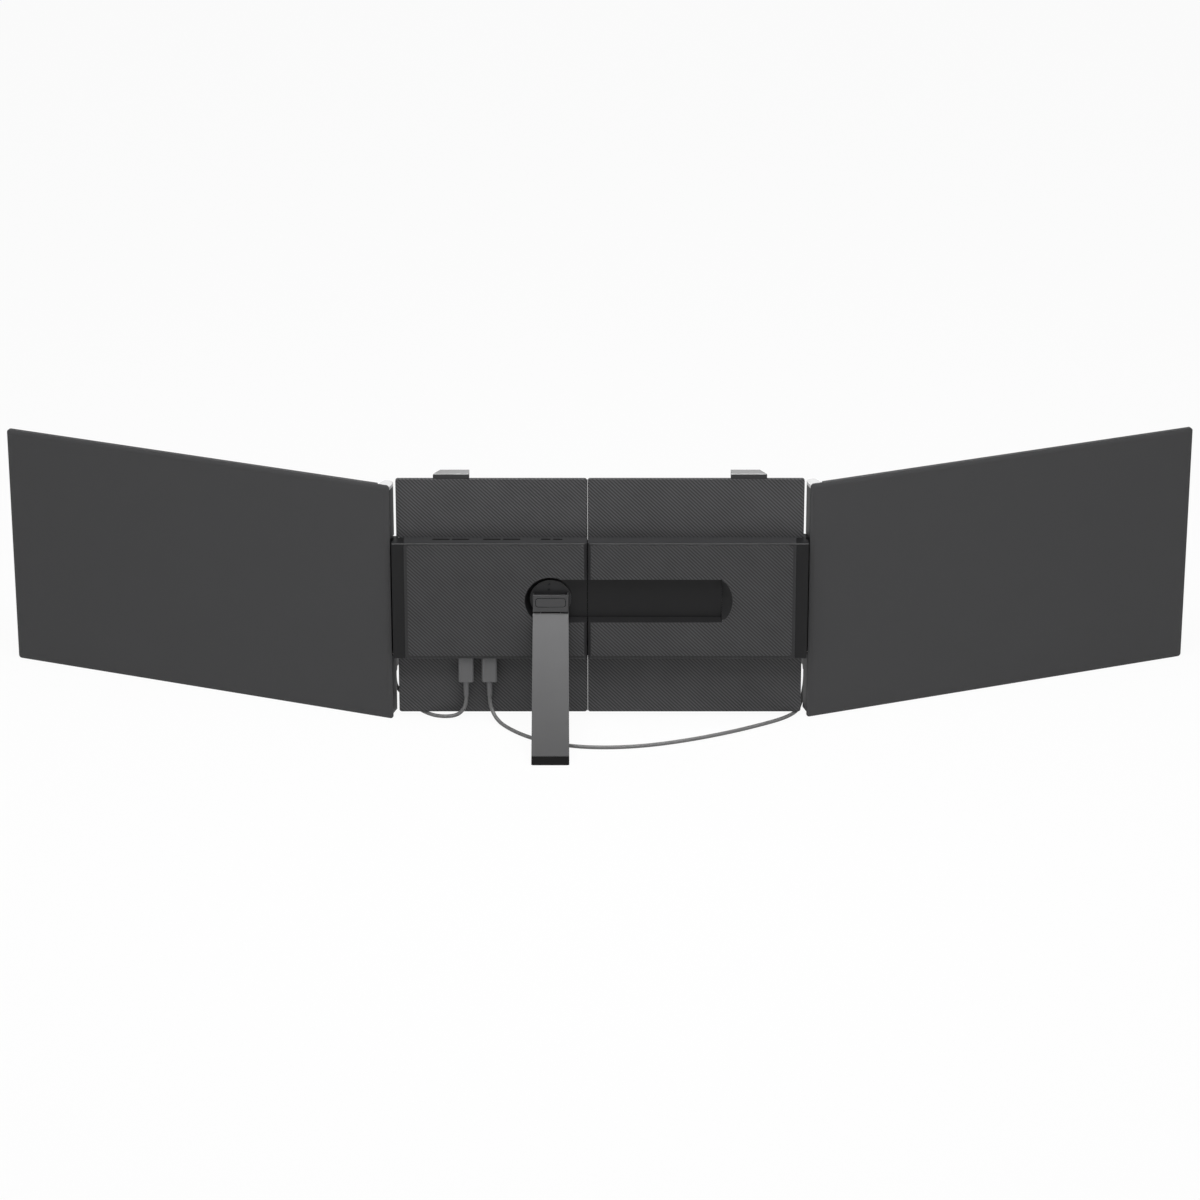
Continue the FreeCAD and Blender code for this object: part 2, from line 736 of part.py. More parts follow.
def rounded_outline(inset, y):
    """The screen's outline in its own frame, inset by a distance, at a depth."""
    radius = SCREEN_CORNER
    low, right, high = inset, SCREEN_WIDTH - inset, SCREEN_HEIGHT - inset
    bend = radius * (1 - math.sqrt(0.5))
    corners = ((inset, low, 1, 1), (right, low, -1, 1), (right, high, -1, -1), (inset, high, 1, -1))
    edges = []
    ends = []
    for number, (x, z, in_x, in_z) in enumerate(corners):
        along_x = Vector(x + in_x * radius, y, z)
        along_z = Vector(x, y, z + in_z * radius)
        middle = Vector(x + in_x * bend, y, z + in_z * bend)
        first, last = (along_z, along_x) if number % 2 == 0 else (along_x, along_z)
        ends.append((first, last))
        edges.append(Part.Arc(first, middle, last).toShape())
    loop = []
    for number, edge in enumerate(edges):
        after = ends[(number + 1) % len(ends)][0]
        loop += [edge, Part.LineSegment(ends[number][1], after).toShape()]
    return Part.Wire(loop)


def screen_cover(side):
    """Back cover: a shallow tray, bevelled all round, thinner where the spine sits on it."""
    bevel = Part.makeLoft(
        [rounded_outline(BEVEL_WIDTH, 0), rounded_outline(0, BEVEL_DEPTH)], True, True
    )
    wall = Part.Face(rounded_outline(0, BEVEL_DEPTH))
    body = bevel.fuse(wall.extrude(ALONG_Y * (SCREEN_THICKNESS - BEVEL_DEPTH)))
    tray = block(
        (SPINE_WIDTH + RIM, COVER_SKIN, RIM),
        (SCREEN_WIDTH - RIM, SCREEN_THICKNESS + 1, SCREEN_HEIGHT - RIM),
    )
    seat = block((-1, SPINE_SEAT, -1), (SPINE_WIDTH, SCREEN_THICKNESS + 1, SCREEN_HEIGHT + 1))
    return side.swung(body.removeSplitter().cut([tray, seat]))


def lcd_panel(side):
    """Display panel with its backlight, lying in the tray."""
    shape = block(
        (SPINE_WIDTH + RIM + PANEL_GAP, COVER_SKIN, RIM + PANEL_GAP),
        (
            SCREEN_WIDTH - RIM - PANEL_GAP,
            COVER_SKIN + PANEL_THICKNESS,
            SCREEN_HEIGHT - RIM - PANEL_GAP,
        ),
    )
    return side.swung(shape)


def screen_glass(side):
    """Front pane, flush with the tray's rim."""
    shape = block(
        (SPINE_WIDTH + RIM + PANEL_GAP, COVER_SKIN + PANEL_THICKNESS, RIM + PANEL_GAP),
        (
            SCREEN_WIDTH - RIM - PANEL_GAP,
            COVER_SKIN + PANEL_THICKNESS + GLASS_THICKNESS,
            SCREEN_HEIGHT - RIM - PANEL_GAP,
        ),
    )
    return side.swung(shape)


def spine_section(low, high, inset=0.0):
    """A length of the bar along the screen's inner edge: flat back, rounded user side."""
    corner = Vector(0.3 + inset, 9.5, low)
    crown = Vector(4.9, SPINE_DEPTH - inset, low)
    shoulder = Vector(SPINE_WIDTH - 1.8 - inset, SPINE_DEPTH - 1.3 - inset, low)
    foot = Vector(SPINE_WIDTH - inset, SPINE_SEAT + inset + 3.0, low)
    start = Vector(inset, SPINE_SEAT + inset, low)
    end = Vector(SPINE_WIDTH - inset, SPINE_SEAT + inset, low)
    turn = Vector(1.2 + inset, SPINE_DEPTH - 1.5 - inset, low)
    edges = [
        Part.LineSegment(start, corner).toShape(),
        Part.Arc(corner, turn, crown).toShape(),
        Part.Arc(crown, Vector(6.9, SPINE_DEPTH - 0.35 - inset, low), shoulder).toShape(),
        Part.LineSegment(shoulder, foot).toShape(),
        Part.LineSegment(foot, end).toShape(),
        Part.LineSegment(end, start).toShape(),
    ]
    return Part.Face(Part.Wire(edges)).extrude(UP * (high - low))


def pin_hole(side):
    low = HOUSING_LOW - HINGE_END_GAP - HINGE_PIN_GRIP
    high = HOUSING_HIGH + HINGE_END_GAP + HINGE_PIN_GRIP
    x, y = HINGE_FROM_EDGE, side.pivot
    return rod(HINGE_PIN_RADIUS, (x, y, low), (x, y, high))


def port_floor():
    """Depth in the spine where the socket's back wall sits on the board."""
    return SPINE_DEPTH - 0.1 - SCREEN_PORT_DEPTH


def board_top():
    return HOUSING_LOW - HINGE_END_GAP - HINGE_PIN_GRIP - 0.6


def lower_spine(side):
    """Bar below the hinge: hollow, with the screen's socket on its user side."""
    bar = spine_section(SPINE_LIFT, HOUSING_LOW - HINGE_END_GAP)
    hollow = spine_section(SPINE_LIFT + SPINE_WALL, board_top() + 0.3, SPINE_WALL)
    wide, thick = SOCKET_WIDTH / 2 + RUNNING_FIT, SOCKET_THICKNESS / 2 + RUNNING_FIT
    mouth = rounded_block(
        (HINGE_FROM_EDGE - thick, port_floor(), SCREEN_PORT_Z - wide),
        (HINGE_FROM_EDGE + thick, SPINE_DEPTH + 2, SCREEN_PORT_Z + wide),
        thick - 0.1,
        ALONG_Y,
    )
    return side.swung(bar.cut([hollow, mouth, pin_hole(side)]))


def upper_spine(side):
    """Bar above the hinge, with the bore of the menu button."""
    bar = spine_section(HOUSING_HIGH + HINGE_END_GAP, SPINE_TOP - SPINE_CAP)
    x = HINGE_FROM_EDGE
    bottom = SPINE_DEPTH - BUTTON_SUNK - BUTTON_HEIGHT - BUTTON_TRAVEL - CHANNEL_GAP
    bore = rod(BUTTON_RADIUS + RUNNING_FIT, (x, bottom, BUTTON_Z), (x, SPINE_DEPTH + 1, BUTTON_Z))
    return side.swung(bar.cut([pin_hole(side), bore]))


def menu_button(side):
    """Round key, its top just below the spine's crown so that it clears the frame when folded."""
    high = SPINE_DEPTH - BUTTON_SUNK
    x = HINGE_FROM_EDGE
    cap = rod(BUTTON_RADIUS, (x, high - BUTTON_HEIGHT, BUTTON_Z), (x, high, BUTTON_Z))
    rim = [edge for edge in cap.Edges if edge.Closed and edge.CenterOfMass.y > high - 0.1]
    return side.swung(cap.makeChamfer(BUTTON_BEVEL, rim))


def spine_cap(side):
    """Light cap that closes the bar's top end."""
    return side.swung(spine_section(SPINE_TOP - SPINE_CAP, SPINE_TOP))


def driver_board(side):
    """The screen's circuit board in the lower bar, with its USB-C socket."""
    face = port_floor()
    low = SPINE_LIFT + SPINE_WALL + 1
    board = block(
        (SPINE_WALL + BOARD_INSET, face - BOARD_THICKNESS, low),
        (SPINE_WIDTH - SPINE_WALL - BOARD_EDGE_GAP, face, board_top()),
    )
    wide, thick = SOCKET_WIDTH / 2, SOCKET_THICKNESS / 2
    outer = rounded_block(
        (HINGE_FROM_EDGE - thick, face, SCREEN_PORT_Z - wide),
        (HINGE_FROM_EDGE + thick, face + SCREEN_PORT_DEPTH, SCREEN_PORT_Z + wide),
        thick - 0.1,
        ALONG_Y,
    )
    wide -= SOCKET_SHELL
    thick -= SOCKET_SHELL
    inner = rounded_block(
        (HINGE_FROM_EDGE - thick, face + SOCKET_SHELL, SCREEN_PORT_Z - wide),
        (HINGE_FROM_EDGE + thick, face + SCREEN_PORT_DEPTH + 1, SCREEN_PORT_Z + wide),
        thick - 0.1,
        ALONG_Y,
    )
    chip = block((2.6, face, low + 6), (7.4, face + 0.9, low + 12))
    return side.swung(board.fuse([outer.cut(inner), chip]).removeSplitter())


def screen_plug(side):
    """Right-angle plug on the spine's user side, its cable end pointing down."""
    start = SPINE_DEPTH + SCREEN_PLUG_GAP
    x = HINGE_FROM_EDGE
    half = SCREEN_PLUG_WIDTH / 2
    low = SCREEN_PORT_Z - SCREEN_PLUG_HEIGHT / 2
    body = rounded_block(
        (x - half, start, low),
        (x + half, start + SCREEN_PLUG_DEPTH, low + SCREEN_PLUG_HEIGHT),
        1.8,
        UP,
    )
    tip = rounded_block(
        (x - TIP_THICKNESS / 2, port_floor() + 2 * SOCKET_SHELL, SCREEN_PORT_Z - TIP_WIDTH / 2),
        (x + TIP_THICKNESS / 2, start + 1, SCREEN_PORT_Z + TIP_WIDTH / 2),
        TIP_THICKNESS / 2 - 0.05,
        ALONG_Y,
    )
    y = start + SCREEN_PLUG_DEPTH - half - 0.4
    relief = Part.makeCone(
        RELIEF_RADIUS, CABLE_RADIUS + 0.5, SCREEN_RELIEF, Vector(x, y, low), -UP
    )
    return side.swung(body.fuse([tip, relief]).removeSplitter())


def screen_plug_exit(side):
    """Where the cable leaves the right-angle plug, in the building frame."""
    start = SPINE_DEPTH + SCREEN_PLUG_GAP
    y = start + SCREEN_PLUG_DEPTH - SCREEN_PLUG_WIDTH / 2 - 0.4
    swing = math.radians(SCREEN_SWING)
    across = HINGE_FROM_EDGE
    point = Vector(
        SCREEN_EDGE_X + across * math.cos(swing) - y * math.sin(swing),
        side.edge_y + across * math.sin(swing) + y * math.cos(swing),
        SCREEN_PORT_Z - SCREEN_PLUG_HEIGHT / 2 - SCREEN_RELIEF,
    )
    if side.mirrored:
        point.x = -point.x
    return point


def hook(side):
    """Hook for the laptop's lid: a strip in the plate's channel, a slanted lip and a tooth."""
    half = HOOK_WIDTH / 2
    strip_back = BACK_PLATE - HOOK_STRIP - CHANNEL_GAP
    low = FRAME_TOP + HOOK_GAP
    high = FRAME_TOP + HOOK_RISE
    strip = block(
        (HOOK_X - HOOK_STRIP_WIDTH / 2, strip_back, FRAME_TOP - HOOK_STRIP_LENGTH),
        (HOOK_X + HOOK_STRIP_WIDTH / 2, BACK_PLATE - CHANNEL_GAP, low + 1),
    )
    tip = PLATE_THICKNESS + HOOK_THROAT + HOOK_PAD + HOOK_TOOTH
    slant = HOOK_SLANT / (tip - 0.3)

    def plan(back, front, base, top):
        """Part of the lip's slanted plan, between two depths and two heights."""
        inner, outer = HOOK_X - half, HOOK_X + half
        return prism(
            [
                (inner, back, base),
                (outer - slant * (back - 0.3), back, base),
                (outer - slant * (front - 0.3), front, base),
                (inner, front, base),
            ],
            top - base,
            UP,
        )

    root = plan(0.3, PLATE_THICKNESS, low, high)
    lip = plan(0.3, tip, high - HOOK_LIP, high)
    tooth = plan(tip - HOOK_TOOTH, tip, FRAME_TOP - HOOK_TOOTH_DROP, high)
    head = root.fuse([lip, tooth]).removeSplitter()
    crown = edges_along(
        head,
        Vector(1, 0, 0),
        lambda middle: middle.z > high - 0.1 and (middle.y < 0.4 or middle.y > tip - 0.1),
    )
    head = head.makeFillet(1.0, crown)
    return head.fuse(strip).removeSplitter()


def hook_pad(side):
    """Soft pad inside the hook's tooth."""
    back = PLATE_THICKNESS + HOOK_THROAT
    return block(
        (HOOK_X - HOOK_WIDTH / 2 + 2, back, FRAME_TOP - HOOK_TOOTH_DROP + 0.2),
        (
            HOOK_X + HOOK_WIDTH / 2 - HOOK_SLANT - 1,
            back + HOOK_PAD,
            FRAME_TOP + HOOK_RISE - HOOK_LIP,
        ),
    )


def stand_point(x, y, z):
    """A point given from the turntable's centre, X across, Z up along the closed leg."""
    return (STAND_X + x, y, STAND_Z + z)


def kickstand_disc():
    """Turntable: disc, spigot through the recess floor and the ears' tongue for the leg."""
    back = -RECESS_FLOOR - DISC_GAP
    front = back - DISC_THICKNESS
    disc = rod(DISC_RADIUS, stand_point(0, back, 0), stand_point(0, front, 0))
    spigot_end = -RECESS_FLOOR + RECESS_WALL + DISC_GAP
    spigot = rod(SPIGOT_RADIUS, stand_point(0, back, 0), stand_point(0, spigot_end, 0))
    half = BRACKET_WIDTH / 2
    pivot = -LEG_PIVOT_DROP
    radius = LEG_BARREL - SIDE_CLEARANCE / 2
    tongue = rod(
        radius,
        stand_point(-half, -LEG_PIVOT_DEPTH, pivot),
        stand_point(half, -LEG_PIVOT_DEPTH, pivot),
    )
    web = prism(
        [
            stand_point(-half, -LEG_PIVOT_DEPTH - BRACKET_DEPTH, pivot),
            stand_point(-half, front + 0.5, pivot - BRACKET_DROP),
            stand_point(-half, front + 0.5, pivot + DECK_RISE + 1),
            stand_point(-half, -LEG_PIVOT_DEPTH - BRACKET_DEPTH, pivot + DECK_RISE),
        ],
        BRACKET_WIDTH,
        Vector(1, 0, 0),
    )
    cheek = LEG_WIDTH / 2 - COVER_WALL - SIDE_CLEARANCE
    deck = block(
        stand_point(-cheek, -LEG_PIVOT_DEPTH - BRACKET_DEPTH / 2, pivot + DECK_RISE),
        stand_point(cheek, front + 0.5, pivot + DECK_RISE + DECK_HEIGHT),
    )
    pin_bore = rod(
        LEG_PIN_RADIUS,
        stand_point(-half - 1, -LEG_PIVOT_DEPTH, pivot),
        stand_point(half + 1, -LEG_PIVOT_DEPTH, pivot),
    )
    shape = disc.fuse([spigot, tongue, web, deck]).removeSplitter()
    return into_row(shape.cut(pin_bore))


def kickstand_retainer():
    """Plate behind the recess floor that holds the turntable in, with its centre screw."""
    face = -RECESS_FLOOR + RECESS_WALL + DISC_GAP
    plate = rod(
        RETAINER_RADIUS, stand_point(0, face, 0), stand_point(0, face + RETAINER_THICKNESS, 0)
    )
    screw = rod(
        SCREW_HEAD,
        stand_point(0, face + RETAINER_THICKNESS, 0),
        stand_point(0, face + RETAINER_THICKNESS + SCREW_HEAD_HEIGHT, 0),
    )
    return into_row(plate.fuse(screw).removeSplitter())


def hinge_cover():
    """Cover over the leg's hinge, hollow, with a shallow rounded panel on its face."""
    low = COVER_GAP - LEG_PIVOT_DROP
    high = low + COVER_HEIGHT
    half = LEG_WIDTH / 2
    back = -RECESS_FLOOR - DISC_GAP - DISC_THICKNESS
    shell = block(stand_point(-half, -COVER_DEPTH, low), stand_point(half, back, high))
    shell = shell.makeFillet(
        COVER_ROUND, edges_along(shell, UP, lambda middle: middle.y < -COVER_DEPTH + 0.1)
    )
    hollow = block(
        stand_point(-half + COVER_WALL, -COVER_DEPTH + COVER_FACE, low - 1),
        stand_point(half - COVER_WALL, back + 1, high + 1),
    )
    panel = rounded_block(
        stand_point(-half + 1.9, -COVER_DEPTH - 1, low + 3.8),
        stand_point(half - 1.9, -COVER_DEPTH + 0.3, high - 2.4),
        2.4,
        ALONG_Y,
    )
    return into_row(shell.cut([hollow, panel]))


def disc_screws():
    """Two small screws on the turntable's face, above the cover."""
    face = -RECESS_FLOOR - DISC_GAP - DISC_THICKNESS
    heads = []
    for x, z in DISC_SCREWS:
        heads.append(
            rod(
                DISC_SCREW_HEAD,
                stand_point(x, face, z),
                stand_point(x, face - DISC_SCREW_PROUD, z),
            )
        )
    return into_row(Part.makeCompound(heads))


def kickstand_pin():
    """Steel pin through the bracket's tongue and the leg's two barrels."""
    half = LEG_WIDTH / 2 - LEG_BARREL_INSET - SIDE_CLEARANCE
    return into_row(
        rod(
            LEG_PIN_RADIUS,
            stand_point(-half, -LEG_PIVOT_DEPTH, -LEG_PIVOT_DROP),
            stand_point(half, -LEG_PIVOT_DEPTH, -LEG_PIVOT_DROP),
        )
    )


def leg_tilt():
    """How far the leg leans out from the vertical when its foot is on the table, in degrees."""
    reach = math.hypot(LEG_LENGTH, LEG_INSIDE)
    return math.degrees(math.acos(LEG_PIVOT_Z / reach) + math.atan(LEG_INSIDE / LEG_LENGTH))


def leaned(shape):
    """From the closed leg's place, hanging straight down, to the open pose."""
    turned = shape.copy()
    pivot = Vector(*stand_point(0, -LEG_PIVOT_DEPTH, -LEG_PIVOT_DROP))
    turned.rotate(pivot, Vector(1, 0, 0), -leg_tilt())
    return into_row(turned)


def leg_half_width(distance):
    """Half of the leg's width at a distance from the pivot."""
    return (LEG_WIDTH + (LEG_FOOT_WIDTH - LEG_WIDTH) * distance / LEG_LENGTH) / 2


def leg_plate(outline):
    """A length of the leg's plate, its side edges bevelled on the housing's side."""
    plate = prism(outline, LEG_THICKNESS, ALONG_Y)
    inside = -LEG_PIVOT_DEPTH + LEG_INSIDE
    sides = []
    for edge in plate.Edges:
        middle = edge.CenterOfMass
        if middle.y > inside - 0.01 and abs(middle.x - STAND_X) > LEG_WIDTH / 4:
            sides.append(edge)
    return plate.makeChamfer(LEG_BEVEL, sides)


def kickstand_leg():
    """Flat leg whose top wraps round the pin on both sides of the bracket's tongue."""
    half = LEG_WIDTH / 2
    pivot = -LEG_PIVOT_DROP
    outside = -LEG_PIVOT_DEPTH - LEG_SKIN
    inside = -LEG_PIVOT_DEPTH + LEG_INSIDE
    end = pivot - LEG_LENGTH + LEG_FOOT
    foot = leg_half_width(LEG_LENGTH - LEG_FOOT)
    plate = leg_plate(
        [
            stand_point(-half, outside, pivot),
            stand_point(half, outside, pivot),
            stand_point(foot, outside, end),
            stand_point(-foot, outside, end),
        ]
    )
    top = rod(
        LEG_SKIN,
        stand_point(-half, -LEG_PIVOT_DEPTH, pivot),
        stand_point(half, -LEG_PIVOT_DEPTH, pivot),
    )
    top = top.common(
        block(stand_point(-half, outside - 1, pivot - 4), stand_point(half, inside, pivot + 4))
    )
    barrels = rod(
        LEG_BARREL,
        stand_point(-half + LEG_BARREL_INSET, -LEG_PIVOT_DEPTH, pivot),
        stand_point(half - LEG_BARREL_INSET, -LEG_PIVOT_DEPTH, pivot),
    )
    gap = BRACKET_WIDTH / 2 + SIDE_CLEARANCE
    slot = rod(
        LEG_BARREL + 0.05,
        stand_point(-gap, -LEG_PIVOT_DEPTH, pivot),
        stand_point(gap, -LEG_PIVOT_DEPTH, pivot),
    )
    clearance = block(
        stand_point(-gap, outside - 1, pivot),
        stand_point(gap, inside + 2, pivot + 4),
    )
    bore = rod(
        LEG_PIN_RADIUS + RUNNING_FIT,
        stand_point(-half + LEG_BARREL_INSET, -LEG_PIVOT_DEPTH, pivot),
        stand_point(half - LEG_BARREL_INSET, -LEG_PIVOT_DEPTH, pivot),
    )
    shape = plate.fuse([top, barrels]).removeSplitter()
    return leaned(shape.cut([slot, clearance, bore]))


def kickstand_foot():
    """Rubber end of the leg."""
    near = leg_half_width(LEG_LENGTH - LEG_FOOT)
    far = LEG_FOOT_WIDTH / 2
    outside = -LEG_PIVOT_DEPTH - LEG_SKIN
    end = -LEG_PIVOT_DROP - LEG_LENGTH
    return leaned(
        leg_plate(
            [
                stand_point(-near, outside, end + LEG_FOOT),
                stand_point(near, outside, end + LEG_FOOT),
                stand_point(far, outside, end),
                stand_point(-far, outside, end),
            ]
        )
    )


def cable(name, points):
    """A round tube along straight runs joined by tangent arcs, with its radii printed."""
    route = [Vector(*p) for p in points]
    edges = []
    radii = []
    start = route[0]
    for before, corner, after in zip(route, route[1:], route[2:]):
        run_in, run_out = corner - before, after - corner
        reach = ARC_SHARE * min(run_in.Length, run_out.Length)
        turn = run_in.getAngle(run_out)
        radii.append(reach / math.tan(turn / 2))
        ahead, behind = Vector(run_in).normalize(), Vector(run_out).normalize()
        first, last = corner - ahead * reach, corner + behind * reach
        bisector = (behind - ahead).normalize()
        dip = radii[-1] * (1 / math.cos(turn / 2) - 1)
        edges.append(Part.LineSegment(start, first).toShape())
        edges.append(Part.Arc(first, corner + bisector * dip, last).toShape())
        start = last
    edges.append(Part.LineSegment(start, route[-1]).toShape())
    path = Part.Wire(edges)
    heading = route[1] - route[0]
    ring = Part.Wire(Part.makeCircle(CABLE_RADIUS, route[0], heading))
    tube = path.makePipeShell([ring], True, True)
    expected = math.pi * CABLE_RADIUS**2 * path.Length
    print(f"{name} length {path.Length:.1f}, radii", " ".join(f"{r:.0f}" for r in radii))
    print(f"{name} volume over section times length {tube.Volume / expected:.4f}")
    return into_row(tube)


def cable_route(side, points):
    """The cable's points, the last two straight below each other under the screen's plug."""
    end = screen_plug_exit(side)
    return list(points) + [tuple(end - UP * CABLE_RISE), tuple(end)]


def build():
    """Every piece of the product by its node's name."""
    parts = {}
    for side in (LEFT, RIGHT):
        name = side.name
        parts[f"{name}_back_plate"] = side.place(back_plate(side))
        parts[f"{name}_front_cover"] = side.place(front_cover(side))
        parts[f"{name}_housing"] = side.place(housing(side))
        parts[f"{name}_inlay"] = side.place(inlay(side))
        parts[f"{name}_hinge_block"] = side.place(hinge_block(side))
        parts[f"{name}_hinge_washers"] = side.place(hinge_washers(side))
        parts[f"{name}_hinge_pin"] = side.place(hinge_pin(side))
        parts[f"{name}_housing_screws"] = side.place(housing_screws(side))
        parts[f"{name}_lid_pads"] = side.place(lid_pads(side))
        parts[f"{name}_screen_cover"] = side.place(screen_cover(side))
        parts[f"{name}_lcd_panel"] = side.place(lcd_panel(side))
        parts[f"{name}_screen_glass"] = side.place(screen_glass(side))
        parts[f"{name}_lower_spine"] = side.place(lower_spine(side))
        parts[f"{name}_upper_spine"] = side.place(upper_spine(side))
        parts[f"{name}_spine_cap"] = side.place(spine_cap(side))
        parts[f"{name}_driver_board"] = side.place(driver_board(side))
        parts[f"{name}_menu_button"] = side.place(menu_button(side))
        parts[f"{name}_screen_plug"] = side.place(screen_plug(side))
        parts[f"{name}_hook"] = side.place(hook(side))
        parts[f"{name}_hook_pad"] = side.place(hook_pad(side))
    parts["hub_board"] = LEFT.place(hub_board())
    parts["hub_ports"] = LEFT.place(hub_ports())
    parts["lower_slide_rail"] = slide_rail(RAIL_CENTRES[0])
    parts["upper_slide_rail"] = slide_rail(RAIL_CENTRES[1])
    parts["rail_shoes"] = RIGHT.place(rail_shoes())
    parts["kickstand_disc"] = kickstand_disc()
    parts["kickstand_retainer"] = kickstand_retainer()
    parts["kickstand_hinge_cover"] = hinge_cover()
    parts["kickstand_screws"] = disc_screws()
    parts["kickstand_pin"] = kickstand_pin()
    parts["kickstand_leg"] = kickstand_leg()
    parts["kickstand_foot"] = kickstand_foot()
    parts["left_hub_plug"] = into_row(hub_plug(HUB_PORT_X[0]))
    parts["right_hub_plug"] = into_row(hub_plug(HUB_PORT_X[1]))
    parts["left_cable"] = cable("left_cable", cable_route(LEFT, LEFT_CABLE))
    parts["right_cable"] = cable("right_cable", cable_route(RIGHT, RIGHT_CABLE))
    return parts


def main():
    os.makedirs("parts", exist_ok=True)
    for name, shape in build().items():
        shape.exportStep(f"parts/{name}.step")


if __name__ == "__main__":
    main()
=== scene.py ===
import json
import math

import bpy
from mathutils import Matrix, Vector

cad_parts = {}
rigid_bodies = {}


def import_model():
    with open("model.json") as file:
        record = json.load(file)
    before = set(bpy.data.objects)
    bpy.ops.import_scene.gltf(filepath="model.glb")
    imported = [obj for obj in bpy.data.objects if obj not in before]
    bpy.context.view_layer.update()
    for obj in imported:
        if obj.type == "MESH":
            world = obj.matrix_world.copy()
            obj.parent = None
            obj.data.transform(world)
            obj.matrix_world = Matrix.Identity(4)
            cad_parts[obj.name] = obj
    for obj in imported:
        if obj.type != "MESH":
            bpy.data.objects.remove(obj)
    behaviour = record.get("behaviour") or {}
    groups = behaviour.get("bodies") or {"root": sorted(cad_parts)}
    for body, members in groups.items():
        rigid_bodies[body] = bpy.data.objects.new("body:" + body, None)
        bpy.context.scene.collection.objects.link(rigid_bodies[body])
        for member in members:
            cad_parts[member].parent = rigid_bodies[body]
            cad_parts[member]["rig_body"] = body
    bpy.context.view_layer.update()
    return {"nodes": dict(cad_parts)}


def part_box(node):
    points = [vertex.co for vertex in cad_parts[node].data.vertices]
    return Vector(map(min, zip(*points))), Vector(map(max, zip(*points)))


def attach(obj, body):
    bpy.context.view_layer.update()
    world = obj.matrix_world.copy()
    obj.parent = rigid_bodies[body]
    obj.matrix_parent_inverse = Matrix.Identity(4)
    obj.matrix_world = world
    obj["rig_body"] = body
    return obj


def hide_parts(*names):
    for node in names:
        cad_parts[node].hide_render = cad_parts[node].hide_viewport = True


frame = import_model()

bl_info = {
    "name": "Laptop screen extender",
    "version": (1, 0, 0),
    "blender": (4, 5, 0),
    "location": "View3D > Sidebar > Extender",
    "description": "Finishes the screen extender: cables, edges, screws, displays and studio",
    "category": "Object",
}

MM = 0.001
SIDES = ("left", "right")
ALONG_DEPTH, UP = 1, 2

# How a copy of a solid is cleaned, and which of its edges are rounded or shaded smooth.
MERGE_DISTANCE = 0.002 * MM
FLAT_ANGLE = math.radians(0.5)
ROUNDED_FROM = math.radians(35)
SMOOTH_BELOW = math.radians(40)
SMOOTH_BELOW_ON_SCREWS = math.radians(35)
SMOOTH_BELOW_ON_DISPLAYS = math.radians(30)
PLACE_TOLERANCE = 0.02 * MM

# The mix node's factor and two colours among its inputs, and its colour among its outputs.
MIX_INPUTS = (0, 6, 7)
MIX_OUTPUT = 2

# The frame's plates stand this far behind the part's origin.
PLATE_BACK = -10.6 * MM
TABLE_TO_MIDDLE = 100.4 * MM

# The kickstand's recess, measured from the plates' back face and the table.
RECESS_FLOOR = -5.9 * MM
RECESS_HEIGHT = 105 * MM
RECESS_REACH = 20.6 * MM
MOUTH_START = -12.05 * MM
MOUTH_END = -11.7 * MM
RECESS_ENDS = (-58.6 * MM, 103.4 * MM)

# The seam between the two halves: its middle and half its width.
SEAM = -9.8 * MM
SEAM_HALF = 0.3 * MM
FRAME_FOOT = 3.5 * MM
FRAME_TOP = 203.1 * MM

# The seal in the housing's part of the seam: how far back it stands, and its heights.
SEAL_BACK = 5.6 * MM
SEAL_FRONT = 3.2 * MM
SEAL_LOW = 55.4 * MM
SEAL_HIGH = 153.6 * MM
SEAL_ROUND = 0.05 * MM
SEAM_OVERLAP = 0.02 * MM
LIP_WIDTH = 0.42 * MM
LIP_BACK = 0.6 * MM
LIP_FRONT = 1.4 * MM
LIP_INSET = 0.5 * MM

# Vents in the left housing's top wall: centre from the middle and length, in millimetres.
VENTS = ((123.2, 13.7), (108.1, 13.7), (83.8, 13.7), (68.6, 13.7), (42.1, 7.6), (32.8, 7.6))
VENT_DEPTH = -3.8 * MM
VENT_HALF = 1.1 * MM
VENT_MESH_DROP = 1.0 * MM
VENT_MESH_PROUD = 0.03 * MM
VENT_MESH_PRESS = 0.01 * MM
VENT_MESH_ROUND = 0.95
HOUSING_TOP = 154 * MM
TOP_EDGE_REACH = 2 * MM

# The panel on the kickstand's hinge cover: its margins, its depth, and the pad and moat in it.
PANEL_SIDE = 1.9 * MM
PANEL_LOW = 3.8 * MM
PANEL_HIGH = 2.4 * MM
PANEL_DEPTH = 0.3 * MM
PANEL_MOAT = 0.55 * MM
PAD_CORNER = 2.0 * MM
PAD_DROP = 0.03 * MM
PAD_ROOT = 0.02 * MM

# The domed rim and the cross cut of a screw's head, as shares of its radius or height.
RIM_WIDTH = 0.18
RIM_DROP = 0.3
CROSS_REACH = 1.3
CROSS_DEPTH = 0.8

HOUSING_SCREW_RADIUS = 2.2 * MM
HOUSING_SCREW_HEIGHT = 0.8 * MM
HOUSING_SCREW_SHANK = 1.2 * MM
KICKSTAND_SCREW_RADIUS = 0.9 * MM
PICTURE_PROUD = 0.04 * MM

# The studio: each lamp's place and size in metres, and the setting that gives its power.
FLOOR_SIZE = 30
FLOOR_DROP = 0.2 * MM
FLOOR_GLOW = 0.94
LAMPS = (
    ("key_light", (0.0, -0.34, 1.25), 0.9, "key_power"),
    ("left_fill", (-2.0, -1.6, 1.0), 1.4, "fill_power"),
    ("right_fill", (2.0, -1.6, 1.0), 1.4, "fill_power"),
    ("user_side_fill", (0.0, 2.2, 1.6), 1.6, "fill_power"),
)

